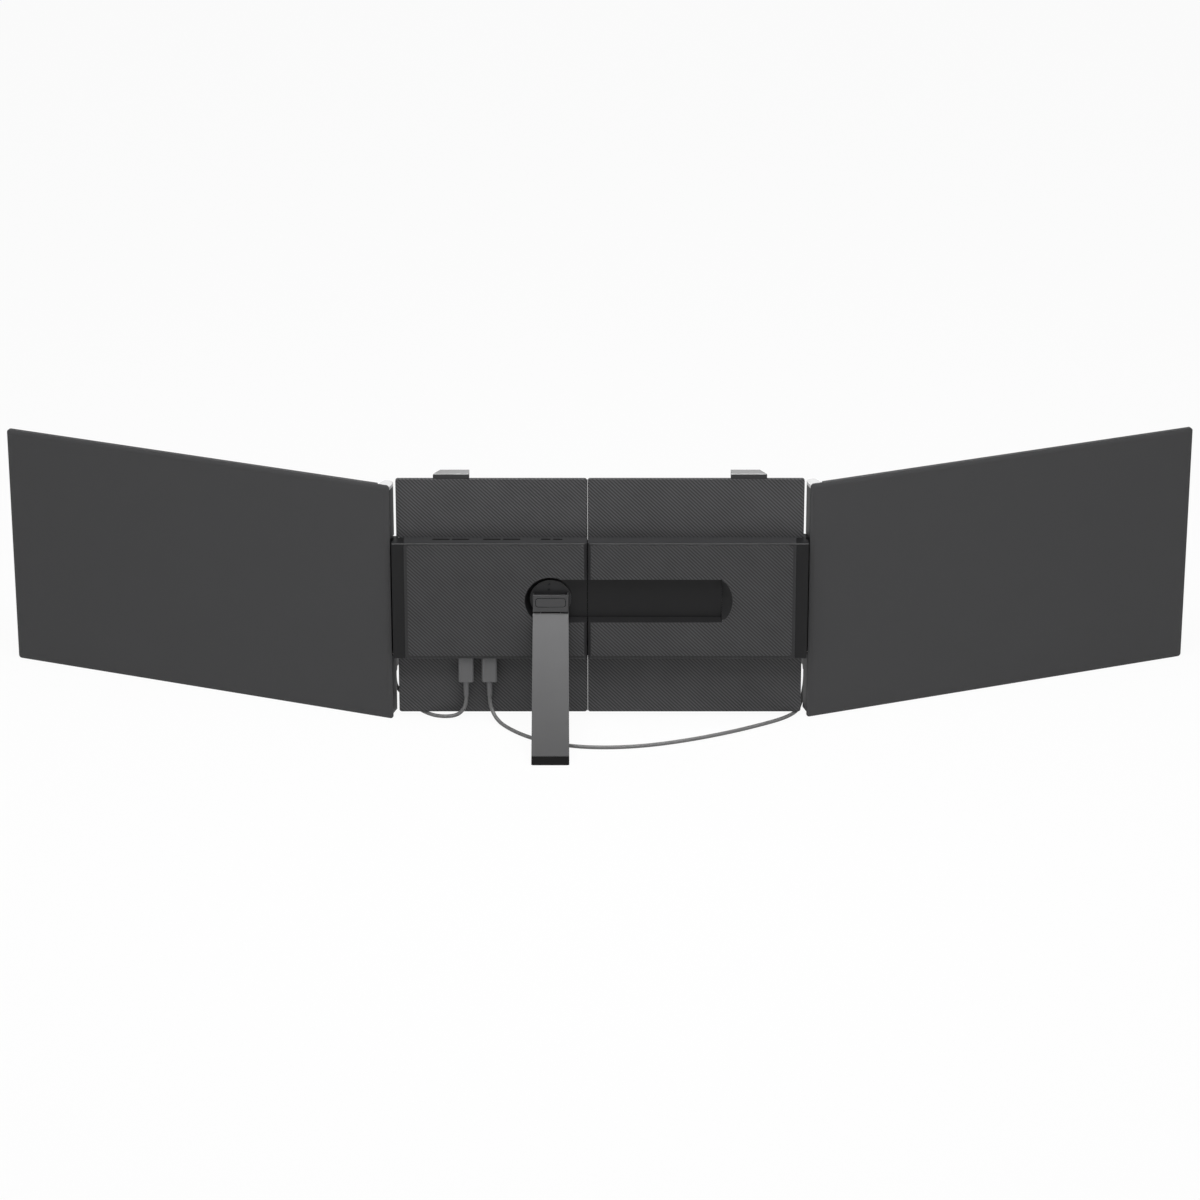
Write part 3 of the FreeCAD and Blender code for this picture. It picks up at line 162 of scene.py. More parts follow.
# Cable routes and lengths, as in the part's source, in metres. Both routes start at the hub plug.
LEFT_ROUTE = (
    (-0.1050, -0.0166, 0.0200),
    (-0.1050, -0.0166, 0.0120),
    (-0.1108, -0.0162, 0.0036),
    (-0.1200, -0.0158, 0.0015),
    (-0.1305, -0.0138, 0.0015),
    (-0.1390, -0.0066, 0.0015),
    (-0.1465, -0.0020, 0.0044),
    (-0.1534, -0.0002, 0.0110),
    (-0.1594, 0.0008, 0.0180),
    (-0.16174, 0.00091, 0.0240),
    (-0.16174, 0.00091, 0.0340),
)
RIGHT_ROUTE = (
    (-0.0867, -0.0166, 0.0200),
    (-0.0867, -0.0166, 0.0120),
    (-0.0810, -0.0244, 0.0026),
    (-0.0710, -0.0376, 0.0015),
    (-0.0555, -0.0526, 0.0015),
    (-0.0330, -0.0651, 0.0015),
    (-0.0040, -0.0706, 0.0015),
    (0.0320, -0.0681, 0.0015),
    (0.0680, -0.0576, 0.0015),
    (0.1010, -0.0436, 0.0015),
    (0.1280, -0.0291, 0.0015),
    (0.1460, -0.0176, 0.0015),
    (0.1560, -0.0051, 0.0015),
    (0.1586, 0.0006, 0.0062),
    (0.1604, 0.0030, 0.0145),
    (0.16174, 0.00396, 0.0240),
    (0.16174, 0.00396, 0.0340),
)
CABLES = {"left": (LEFT_ROUTE, 0.0929), "right": (RIGHT_ROUTE, 0.3264)}
PLUGS = ("hub_plug", "screen_plug")

# The moulded and stamped pieces: the width of their rounded edges in millimetres, and their finish.
HALF_PIECES = {
    "back_plate": (0.25, "twill"),
    "front_cover": (0.2, "cover"),
    "housing": (0.25, "housing"),
    "inlay": (0.1, "inlay"),
    "hinge_block": (0.3, "hinge"),
    "hinge_washers": (0.05, "guide"),
    "hinge_pin": (0.2, "steel"),
    "lid_pads": (0.15, "rubber"),
    "screen_cover": (0.3, "cover"),
    "lower_spine": (0.3, "cover"),
    "upper_spine": (0.3, "cover"),
    "spine_cap": (0.3, "cap"),
    "menu_button": (0.1, "hinge"),
    "screen_plug": (0.3, "plug"),
    "hub_plug": (0.3, "plug"),
    "hook": (0.2, "hook"),
    "hook_pad": (0.1, "rubber"),
}
SHARED_PIECES = {
    "kickstand_disc": (0.2, "housing"),
    "kickstand_retainer": (0.15, "steel"),
    "kickstand_hinge_cover": (0.25, "leg_cover"),
    "kickstand_pin": (0.1, "steel"),
    "kickstand_leg": (0.3, "leg"),
    "kickstand_foot": (0.3, "rubber"),
    "rail_shoes": (0.2, "guide"),
    "lower_slide_rail": (0.2, "steel"),
    "upper_slide_rail": (0.2, "steel"),
    "hub_ports": (0.05, "steel"),
}
PLAIN_PIECES = {
    "hub_board": "board",
    "left_driver_board": "board",
    "right_driver_board": "board",
    "left_lcd_panel": "panel",
    "right_lcd_panel": "panel",
    "left_screen_glass": "glass",
    "right_screen_glass": "glass",
}


class Value:
    """A shader output that can be used in a formula."""

    def __init__(self, finish, socket):
        self.finish = finish
        self.socket = socket

    def _with(self, operation, *values):
        return self.finish.node("ShaderNodeMath", {"operation": operation}, *values)

    def __add__(self, other):
        return self._with("ADD", self, other)

    def __radd__(self, other):
        return self._with("ADD", other, self)

    def __sub__(self, other):
        return self._with("SUBTRACT", self, other)

    def __rsub__(self, other):
        return self._with("SUBTRACT", other, self)

    def __mul__(self, other):
        return self._with("MULTIPLY", self, other)

    def __rmul__(self, other):
        return self._with("MULTIPLY", other, self)

    def __truediv__(self, other):
        return self._with("DIVIDE", self, other)

    def sine(self):
        return self._with("SINE", self)

    def clamped(self):
        return self.finish.node("ShaderNodeClamp", {}, self, 0.0, 1.0)


class Finish:
    """One material: its Principled shader and the nodes that vary it."""

    def __init__(self, name):
        self.material = bpy.data.materials.new(name)
        self.material.use_nodes = True
        self.tree = self.material.node_tree
        self.shader = self.tree.nodes["Principled BSDF"]

    def node(self, kind, settings, *values):
        """Adds a node, sets it, feeds its sockets in order and gives back its first output."""
        made = self.tree.nodes.new(kind)
        for name, value in settings.items():
            setattr(made, name, value)
        for socket, value in zip(made.inputs, values):
            self.feed(socket, value)
        return Value(self, made.outputs[0])

    def feed(self, socket, value):
        if value is None:
            return
        if isinstance(value, Value):
            self.tree.links.new(value.socket, socket)
        else:
            socket.default_value = value

    def place(self):
        """The point on the surface, in metres."""
        coordinates = self.tree.nodes.new("ShaderNodeTexCoord")
        return Value(self, coordinates.outputs["Object"])

    def axes(self):
        """The point's X, Y and Z as three numbers."""
        split = self.tree.nodes.new("ShaderNodeSeparateXYZ")
        self.feed(split.inputs[0], self.place())
        return [Value(self, output) for output in split.outputs]

    def noise(self, size, detail=2.0):
        """Smooth noise whose blotches have a size in metres, from 0 to 1."""
        made = self.tree.nodes.new("ShaderNodeTexNoise")
        self.feed(made.inputs["Vector"], self.place())
        made.inputs["Scale"].default_value = 1 / size
        made.inputs["Detail"].default_value = detail
        return Value(self, made.outputs["Fac"])

    def mixed(self, amount, dark, light):
        """A colour between two."""
        made = self.tree.nodes.new("ShaderNodeMix")
        made.data_type = "RGBA"
        for number, value in zip(MIX_INPUTS, (amount, dark, light)):
            self.feed(made.inputs[number], value)
        return Value(self, made.outputs[MIX_OUTPUT])

    def bump(self, height, depth):
        """Raises the surface by a height from 0 to 1, times a depth in metres."""
        made = self.tree.nodes.new("ShaderNodeBump")
        made.inputs["Distance"].default_value = depth
        self.feed(made.inputs["Height"], height)
        self.feed(self.shader.inputs["Normal"], Value(self, made.outputs["Normal"]))

    def set(self, **values):
        """Sets or links the shader's own sockets, named in plain words."""
        for name, value in values.items():
            socket = name.replace("_", " ").title().replace("Ior", "IOR")
            self.feed(self.shader.inputs[socket], value)


def shade(grey, factor=1.0):
    """A colour property as a shader colour, made darker or lighter."""
    return (grey[0] * factor, grey[1] * factor, grey[2] * factor, 1.0)


def moulded(name, colour, roughness, grain=0.35 * MM, depth=0.012 * MM, gloss=0.4):
    """Moulded plastic: faint clouding, spark-eroded grain and slightly uneven gloss."""
    finish = Finish(name)
    clouds = finish.noise(28 * MM, 3.0)
    pits = finish.noise(grain, 3.0)
    mixed = clouds * 0.6 + pits * 0.4
    finish.set(
        base_color=finish.mixed(mixed, shade(colour, 0.9), shade(colour, 1.1)),
        roughness=(clouds * 0.08 + (roughness - 0.04)).clamped(),
        specular_ior_level=gloss,
    )
    finish.bump(pits, depth)
    return finish


def twill(name, colour):
    """Plastic sheet textured with fine slanting ribs."""
    finish = Finish(name)
    x, _, z = finish.axes()
    turn = 2 * math.pi / sizes().twill_pitch
    contrast = sizes().twill_contrast
    pattern = ((x + z) * turn).sine() * 0.5 + 0.5
    clouds = finish.noise(22 * MM, 3.0)
    tone = pattern * 0.75 + clouds * 0.25
    finish.set(
        base_color=finish.mixed(tone, shade(colour, 1 - contrast), shade(colour, 1 + contrast)),
        roughness=(pattern * 0.15 + 0.45).clamped(),
        specular_ior_level=0.25,
    )
    finish.bump(pattern, 0.05 * MM)
    return finish


def coated(name, colour, roughness, metallic, spread=0.07, painted_shade_height=None):
    """Coated sheet: fine orange peel and faint clouding; given a height, also painted shade that
    darkens it towards the bottom, below that height.
    """
    finish = Finish(name)
    peel = finish.noise(0.6 * MM, 3.0)
    tone = finish.noise(25 * MM, 2.0)
    if painted_shade_height:
        # Painted shade: the tone grows lighter with height, standing in for light falling from
        # above.
        tone = tone * 0.2 + (finish.axes()[2] / painted_shade_height).clamped() * 0.8
    finish.set(
        base_color=finish.mixed(tone, shade(colour, 1 - spread), shade(colour, 1 + spread)),
        roughness=(peel * 0.12 + (roughness - 0.06)).clamped(),
        metallic=metallic,
    )
    finish.bump(peel, 0.01 * MM)
    return finish


def brushed(name, colour, roughness):
    """Bare steel with fine lines along its length."""
    finish = Finish(name)
    stretch = (60.0, 3000.0, 3000.0)
    stretched = finish.node(
        "ShaderNodeMapping", {"vector_type": "POINT"}, finish.place(), None, None, stretch
    )
    lines = finish.node("ShaderNodeTexNoise", {}, stretched, None, 1.0, 3.0)
    finish.set(
        base_color=finish.mixed(lines, shade(colour, 0.85), shade(colour, 1.1)),
        roughness=(lines * 0.2 + (roughness - 0.1)).clamped(),
        metallic=1.0,
    )
    finish.bump(lines, 0.004 * MM)
    return finish


def soft_rubber(name, colour):
    """Matt rubber with a dusty bloom."""
    finish = Finish(name)
    bloom = finish.noise(6 * MM, 4.0)
    pores = finish.noise(0.25 * MM, 2.0)
    finish.set(
        base_color=finish.mixed(bloom, shade(colour, 0.85), shade(colour, 1.3)),
        roughness=(bloom * 0.1 + 0.75).clamped(),
        specular_ior_level=0.15,
    )
    finish.bump(pores, 0.015 * MM)
    return finish


def circuit_board(name):
    """Green solder mask over copper tracks."""
    finish = Finish(name)
    x, _, z = finish.axes()
    tracks = ((x * 2500).sine() * (z * 1800).sine()) * 0.5 + 0.5
    blotches = finish.noise(4 * MM, 2.0)
    finish.set(
        base_color=finish.mixed(
            tracks * blotches, (0.01, 0.07, 0.03, 1.0), (0.05, 0.2, 0.08, 1.0)
        ),
        roughness=(blotches * 0.2 + 0.3).clamped(),
    )
    finish.bump(tracks, 0.02 * MM)
    return finish


def display_pane(name, colour, gloss):
    """Anti-glare pane over a dark display that is switched off."""
    finish = Finish(name)
    etch = finish.noise(0.15 * MM, 2.0)
    depth = finish.noise(60 * MM, 1.0)
    finish.set(
        base_color=finish.mixed(depth, shade(colour, 0.9), shade(colour, 1.15)),
        roughness=(etch * 0.06 + 0.2).clamped(),
        specular_ior_level=gloss,
    )
    finish.bump(etch, 0.002 * MM)
    return finish


class ExtenderColours(bpy.types.PropertyGroup):
    """Colours of the finishes."""

    cover: bpy.props.FloatVectorProperty(
        name="Covers", description="Plastic of the screens and the housing", subtype="COLOR",
        default=(0.031, 0.031, 0.0322), min=0, max=1,
    )
    # Darker than the covers' plastic, partly the housing's own colour and partly painted shade for
    # its shadowed borders and ends.
    housing: bpy.props.FloatVectorProperty(
        name="Housing", description="Plastic round the housing's ribbed sheet", subtype="COLOR",
        default=(0.020, 0.020, 0.021), min=0, max=1,
    )
    twill: bpy.props.FloatVectorProperty(
        name="Twill", description="Ribbed sheet on the frame", subtype="COLOR",
        default=(0.044, 0.044, 0.0455), min=0, max=1,
    )
    hinge: bpy.props.FloatVectorProperty(
        name="Hinge blocks", description="Smooth dark plastic", subtype="COLOR",
        default=(0.007, 0.007, 0.0075), min=0, max=1,
    )
    leg: bpy.props.FloatVectorProperty(
        name="Kickstand", description="Coated metal of the leg and its cover", subtype="COLOR",
        default=(0.034, 0.034, 0.0351), min=0, max=1,
    )
    cap: bpy.props.FloatVectorProperty(
        name="Spine caps", description="Light end caps of the screens' spines", subtype="COLOR",
        default=(0.45, 0.45, 0.45), min=0, max=1,
    )
    plug: bpy.props.FloatVectorProperty(
        name="Plugs", description="Moulded plug bodies", subtype="COLOR",
        default=(0.10, 0.10, 0.102), min=0, max=1,
    )
    cable: bpy.props.FloatVectorProperty(
        name="Cables", description="Sheath of both cables", subtype="COLOR",
        default=(0.11, 0.11, 0.11), min=0, max=1,
    )
    rubber: bpy.props.FloatVectorProperty(
        name="Rubber", description="Foot and pads", subtype="COLOR",
        default=(0.002, 0.002, 0.002), min=0, max=1,
    )


class ExtenderSizes(bpy.types.PropertyGroup):
    """Sizes that the looks depend on."""

    twill_pitch: bpy.props.FloatProperty(
        name="Rib pitch", description="Distance between the twill's ribs along the frame",
        default=3.0 * MM, min=0.5 * MM, max=5 * MM, unit="LENGTH",
    )
    twill_contrast: bpy.props.FloatProperty(
        name="Rib contrast", description="How far the ribs' tone varies",
        default=0.7, min=0, max=1, subtype="FACTOR",
    )
    cable_diameter: bpy.props.FloatProperty(
        name="Cable diameter", description="Outside of the sheath",
        default=3.0 * MM, min=1 * MM, max=8 * MM, unit="LENGTH",
    )
    bezel: bpy.props.FloatProperty(
        name="Bezel", description="Dark border round the display's picture area",
        default=5.0 * MM, min=1 * MM, max=20 * MM, unit="LENGTH",
    )
    screw_slot: bpy.props.FloatProperty(
        name="Screw slot", description="Width of the cross cut in each screw's head",
        default=0.5 * MM, min=0.1 * MM, max=1 * MM, unit="LENGTH",
    )


class ExtenderStudio(bpy.types.PropertyGroup):
    """Camera and lights."""

    elevation: bpy.props.FloatProperty(
        name="Elevation", description="How far the camera looks down",
        default=math.radians(25), min=0, max=math.pi / 2, subtype="ANGLE",
    )
    distance: bpy.props.FloatProperty(
        name="Distance", description="From the camera to the frame",
        default=3.9, min=1, max=20, unit="LENGTH",
    )
    lens: bpy.props.FloatProperty(
        name="Lens", description="Focal length in millimetres", default=150, min=20, max=300,
    )
    key_power: bpy.props.FloatProperty(
        name="Key light", description="Power of the overhead light in watts", default=27, min=0,
    )
    fill_power: bpy.props.FloatProperty(
        name="Fill light", description="Power of each side light in watts", default=6.5, min=0,
    )
    ambient: bpy.props.FloatProperty(
        name="Ambient", description="Light from all round", default=0.30, min=0, max=2,
    )


def colours():
    return bpy.context.scene.extender_colours


def sizes():
    return bpy.context.scene.extender_sizes


def studio():
    return bpy.context.scene.extender_studio


# How each finish is made from the colours in the panel.
FINISH_MAKERS = {
    "cover": lambda tints: moulded("cover_plastic", tints.cover, 0.55),
    # The housing's darker plastic is partly painted shade for its shadowed borders and ends.
    "housing": lambda tints: moulded("housing_plastic", tints.housing, 0.5, gloss=0.3),
    "twill": lambda tints: twill("twill_plastic", tints.twill),
    # Painted shade: the inlay's twill is a darker copy of the frame's twill.
    "inlay": lambda tints: twill("inlay_plastic", shade(tints.twill, 0.8)),
    "hinge": lambda tints: moulded(
        "hinge_plastic", tints.hinge, 0.38, grain=0.2 * MM, depth=0.004 * MM, gloss=0.2
    ),
    # The leg's finish carries painted shade: dark at the bottom, light at the recess's height.
    "leg": lambda tints: coated(
        "leg_metal", tints.leg, 0.5, 0.2, spread=0.45, painted_shade_height=RECESS_HEIGHT
    ),
    "leg_cover": lambda tints: coated("leg_cover_metal", shade(tints.leg, 1.28), 0.5, 0.2),
    # Painted highlight: a much lighter copy of the leg's coating for its side chamfers.
    "leg_edge": lambda tints: coated("leg_edge", shade(tints.leg, 2.4), 0.4, 0.3),
    "cap": lambda tints: coated("light_cap", tints.cap, 0.4, 0.2),
    # Painted light: a lighter finish for the hook's upward faces, as if lit from above.
    "hook_top": lambda tints: coated("hook_top", shade(tints.cap, 0.4), 0.4, 0.2),
    "hook": lambda tints: coated("hook_metal", shade(tints.leg, 0.8), 0.4, 0.5),
    "steel": lambda tints: brushed("steel", (0.55, 0.55, 0.57), 0.3),
    "dark_steel": lambda tints: brushed("dark_steel", (0.03, 0.03, 0.032), 0.45),
    # Painted shade: a near-black mesh that stands for the dark inside of each vent.
    "mesh": lambda tints: soft_rubber("vent_mesh", (0.002, 0.002, 0.002)),
    "rubber": lambda tints: soft_rubber("rubber", tints.rubber),
    "plug": lambda tints: moulded("plug_plastic", tints.plug, 0.5, grain=0.25 * MM),
    "cable": lambda tints: moulded(
        "cable_sheath", tints.cable, 0.48, grain=0.3 * MM, depth=0.008 * MM
    ),
    "guide": lambda tints: moulded("guide_plastic", (0.7, 0.7, 0.66), 0.35, grain=0.3 * MM),
    "board": lambda tints: circuit_board("circuit_board"),
    "panel": lambda tints: display_pane("display_panel", (0.03, 0.03, 0.034), gloss=0.4),
    "glass": lambda tints: display_pane("display_bezel", (0.004, 0.004, 0.0042), gloss=0.25),
    "picture": lambda tints: display_pane("display_picture", (0.014, 0.016, 0.021), gloss=0.5),
}
FINISHES = {}


def finish_named(name):
    """Each finish's material, made when it is first used."""
    if name not in FINISHES:
        FINISHES[name] = FINISH_MAKERS[name](colours()).material
    return FINISHES[name]


def dress(thing, name):
    """Puts one finish on an object."""
    thing.data.materials.clear()
    thing.data.materials.append(finish_named(name))


def pick(thing):
    """Makes one object the only one selected, and active."""
    bpy.ops.object.select_all(action="DESELECT")
    thing.select_set(True)
    bpy.context.view_layer.objects.active = thing


def settled(thing):
    """Moves an object's place into its mesh, so that the object sits at the origin."""
    pick(thing)
    bpy.ops.object.transform_apply(location=True, rotation=True, scale=True)


def body_of_node(node):
    return frame["nodes"][node]["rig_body"]


def merged_copy(name, node):
    """A copy of a solid whose loose triangles are merged into whole faces."""
    piece = bpy.data.objects.new(name, frame["nodes"][node].data.copy())
    bpy.context.collection.objects.link(piece)
    pick(piece)
    bpy.ops.mesh.customdata_custom_splitnormals_clear()
    bpy.ops.object.mode_set(mode="EDIT")
    bpy.ops.mesh.select_all(action="SELECT")
    bpy.ops.mesh.remove_doubles(threshold=MERGE_DISTANCE)
    bpy.ops.mesh.dissolve_limited(angle_limit=FLAT_ANGLE)
    bpy.ops.object.mode_set(mode="OBJECT")
    return piece


def rounded_copy(node, width, finish):
    """A merged copy of a solid with its sharp edges rounded."""
    piece = merged_copy(f"{node}_rounded", node)
    bevel = piece.modifiers.new("rounded_edges", "BEVEL")
    bevel.width = width * MM
    bevel.segments = 2
    bevel.limit_method = "ANGLE"
    bevel.angle_limit = ROUNDED_FROM
    bevel.harden_normals = True
    bpy.ops.object.modifier_apply(modifier=bevel.name)
    bpy.ops.object.shade_smooth_by_angle(angle=SMOOTH_BELOW)
    even = piece.modifiers.new("even_shading", "WEIGHTED_NORMAL")
    even.keep_sharp = True
    even.weight = 100
    bpy.ops.object.modifier_apply(modifier=even.name)
    dress(piece, finish)
    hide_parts(node)
    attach(piece, body_of_node(node))
    return piece


def refinish(piece, finish, chosen):
    """Gives some of a piece's faces a second finish."""
    piece.data.materials.append(finish_named(finish))
    number = len(piece.data.materials) - 1
    for face in piece.data.polygons:
        if chosen(face):
            face.material_index = number


def on_top_edge(face):
    """True for the rounded edge between the housing's top wall and its back, painted dark as shade.
    """
    slanted = face.normal.z > 0.15 and face.normal.y < -0.15
    return slanted and face.center.z > HOUSING_TOP - TOP_EDGE_REACH


def on_recess_mouth(face):
    """True for the rounded edge of the recess on the housing's face, painted lighter as a
    highlight.
    """
    depth = face.center.y - PLATE_BACK
    at_mouth = MOUTH_START < depth < MOUTH_END and abs(face.normal.y) < 0.98
    near = abs(face.center.z - RECESS_HEIGHT) < RECESS_REACH
    return at_mouth and near


def in_recess(face):
    """True for the walls and floor of the long hollow that the leg folds into, painted dark as
    shade.
    """
    depth = face.center.y - PLATE_BACK
    across = abs(face.center.z - RECESS_HEIGHT) < RECESS_REACH
    along = RECESS_ENDS[0] < face.center.x < RECESS_ENDS[1]
    return across and along and MOUTH_END < depth < RECESS_FLOOR


def in_cover_panel(face, low, high):
    """True for the floor and walls of the shallow panel on the hinge cover, painted dark as shade
    in the moat round the pad.
    """
    place = face.center
    across = low.x + PANEL_SIDE / 2 < place.x < high.x - PANEL_SIDE / 2
    upright = low.z + PANEL_LOW / 2 < place.z < high.z - PANEL_HIGH / 2
    sunk = PLACE_TOLERANCE < place.y - low.y < PANEL_DEPTH + PLACE_TOLERANCE
    return across and upright and sunk


def bar(name, low, high, radius, axis=None):
    """A block between two corners with rounded edges: all of them, or those along one axis."""
    low, high = Vector(low), Vector(high)
    bpy.ops.object.select_all(action="DESELECT")
    bpy.ops.mesh.primitive_cube_add(size=1, location=(low + high) / 2)
    made = bpy.context.active_object
    made.name = name
    made.scale = high - low
    settled(made)
    bpy.ops.object.mode_set(mode="EDIT")
    bpy.ops.mesh.select_mode(type="EDGE")
    bpy.ops.mesh.select_all(action="DESELECT")
    bpy.ops.object.mode_set(mode="OBJECT")
    for edge in made.data.edges:
        first, second = (made.data.vertices[number].co for number in edge.vertices)
        edge.select = axis is None or abs((first - second).normalized()[axis]) > 0.9
    bpy.ops.object.mode_set(mode="EDIT")
    bpy.ops.mesh.bevel(offset=radius, segments=4, affect="EDGES")
    bpy.ops.object.mode_set(mode="OBJECT")
    bpy.ops.object.shade_smooth_by_angle(angle=SMOOTH_BELOW)
    return made


class EXTENDER_OT_camera(bpy.types.Operator):
    """Set the camera at the viewing angle"""

    bl_idname = "extender.camera"
    bl_label = "Camera"

    def execute(self, context):
        setup = studio()
        data = bpy.data.cameras.new("camera")
        data.lens = setup.lens
        data.sensor_width = 36
        data.clip_end = 50
        camera = bpy.data.objects.new("camera", data)
        context.scene.collection.objects.link(camera)
        aim = Vector((0, PLATE_BACK, TABLE_TO_MIDDLE))
        back = Vector((0, -math.cos(setup.elevation), math.sin(setup.elevation)))
        camera.location = aim + back * setup.distance
        camera.rotation_euler = (math.pi / 2 - setup.elevation, 0, 0)
        context.scene.camera = camera
        return {"FINISHED"}


def make_cable(side):
    """A round cable along its route, lying where its solid lies."""
    name, node = f"{side}_cable_sheath", f"{side}_cable"
    route, length = CABLES[side]
    diameter = sizes().cable_diameter
    data = bpy.data.curves.new(name, "CURVE")
    data.dimensions = "3D"
    data.bevel_depth = diameter / 2
    data.bevel_resolution = 6
    data.use_fill_caps = True
    data.resolution_u = 16
    spline = data.splines.new("NURBS")
    spline.points.add(len(route) - 1)
    for point, place in zip(spline.points, route):
        point.co = (*place, 1.0)
    spline.order_u = 3
    spline.use_endpoint_u = True
    cable = bpy.data.objects.new(name, data)
    bpy.context.collection.objects.link(cable)
    data.materials.append(finish_named("cable"))
    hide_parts(node)
    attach(cable, "left_frame")


class EXTENDER_OT_cables(bpy.types.Operator):
    """Lay the two cables with their plugs"""

    bl_idname = "extender.cables"
    bl_label = "Cables and plugs"

    def execute(self, context):
        plugs = {
            side: [rounded_copy(f"{side}_{part}", *HALF_PIECES[part]) for part in PLUGS]
            for side in SIDES
        }
        for side in SIDES:
            make_cable(side)
        return {"FINISHED"}


class EXTENDER_OT_mouldings(bpy.types.Operator):
    """Round the edges of the moulded and stamped pieces and give them their finishes"""

    bl_idname = "extender.mouldings"
    bl_label = "Mouldings and metalwork"

    def execute(self, context):
        for side in SIDES:
            for part, (width, finish) in HALF_PIECES.items():
                if part in PLUGS:
                    continue
                piece = rounded_copy(f"{side}_{part}", width, finish)
                if part == "housing":
                    # Painted shade: the recess's walls and floor and the housing's rounded top edge
                    # take the darker hinge plastic.
                    refinish(piece, "hinge", lambda face: in_recess(face) or on_top_edge(face))
                    # Painted highlight: the recess's rounded mouth takes the lighter cover plastic.
                    refinish(piece, "cover", on_recess_mouth)
                if part == "hook":
                    # Painted light from above: the hook's upward faces take a lighter finish.
                    refinish(piece, "hook_top", lambda face: face.normal.z > 0.5)
        for node, (width, finish) in SHARED_PIECES.items():
            piece = rounded_copy(node, width, finish)
            if node == "kickstand_leg":
                # Painted highlight: the leg's slanted side chamfers take a much lighter copy of its
                # coating.
                refinish(piece, "leg_edge", lambda face: 0.3 < abs(face.normal.x) < 0.95)
            if node == "kickstand_hinge_cover":
                low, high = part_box(node)
                # Painted shade: the sunken panel's floor and walls, seen as a moat round the pad,
                # take the darker hinge plastic.
                refinish(piece, "hinge", lambda face: in_cover_panel(face, low, high))
        for node, finish in PLAIN_PIECES.items():
            dress(frame["nodes"][node], finish)
        return {"FINISHED"}


class EXTENDER_OT_seal(bpy.types.Operator):
    """Add the soft seal and the lip that close the seam between the two halves"""

    bl_idname = "extender.seal"
    bl_label = "Seam seal"

    def execute(self, context):
        left = SEAM - SEAM_HALF - SEAM_OVERLAP
        right = SEAM + SEAM_HALF + SEAM_OVERLAP
        seal = bar(
            "seam_seal",
            (left, PLATE_BACK - SEAL_BACK, SEAL_LOW),
            (right, PLATE_BACK - SEAL_FRONT, SEAL_HIGH),
            SEAL_ROUND,
        )
        lip = bar(
            "seam_lip",
            (left, PLATE_BACK + LIP_BACK, FRAME_FOOT + LIP_INSET),
            (SEAM - SEAM_HALF + LIP_WIDTH, PLATE_BACK + LIP_FRONT, FRAME_TOP - LIP_INSET),
            SEAL_ROUND,
        )
        for piece in (seal, lip):
            dress(piece, "rubber")
            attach(piece, "left_frame")
        return {"FINISHED"}


class EXTENDER_OT_vents(bpy.types.Operator):
    """Put a fine near-black mesh in each vent, painted shade for the dark inside of each slot"""

    bl_idname = "extender.vents"
    bl_label = "Vent meshes"

    def execute(self, context):
        meshes = []
        y = PLATE_BACK + VENT_DEPTH
        for middle, length in VENTS:
            x = -middle * MM
            half = length / 2 * MM + VENT_MESH_PRESS
            low = (x - half, y - VENT_HALF, HOUSING_TOP - VENT_MESH_DROP)
            high = (x + half, y + VENT_HALF, HOUSING_TOP + VENT_MESH_PROUD)
            meshes.append(bar("vent_mesh", low, high, VENT_HALF * VENT_MESH_ROUND, axis=UP))
        piece = joined("vent_meshes", meshes)
        dress(piece, "mesh")
        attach(piece, "left_frame")
        return {"FINISHED"}


class EXTENDER_OT_pad(bpy.types.Operator):
    """Put the raised finger pad in the hinge cover's panel"""

    bl_idname = "extender.pad"
    bl_label = "Hinge cover pad"

    def execute(self, context):
        node = "kickstand_hinge_cover"
        low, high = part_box(node)
        side = PANEL_SIDE + PANEL_MOAT
        face, back = low.y + PAD_DROP, low.y + PANEL_DEPTH + PAD_ROOT
        piece = bar(
            "hinge_cover_pad",
            (low.x + side, face, low.z + PANEL_LOW + PANEL_MOAT),
            (high.x - side, back, high.z - PANEL_HIGH - PANEL_MOAT),
            PAD_CORNER,
            axis=ALONG_DEPTH,
        )
        dress(piece, "leg_cover")
        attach(piece, body_of_node(node))
        return {"FINISHED"}


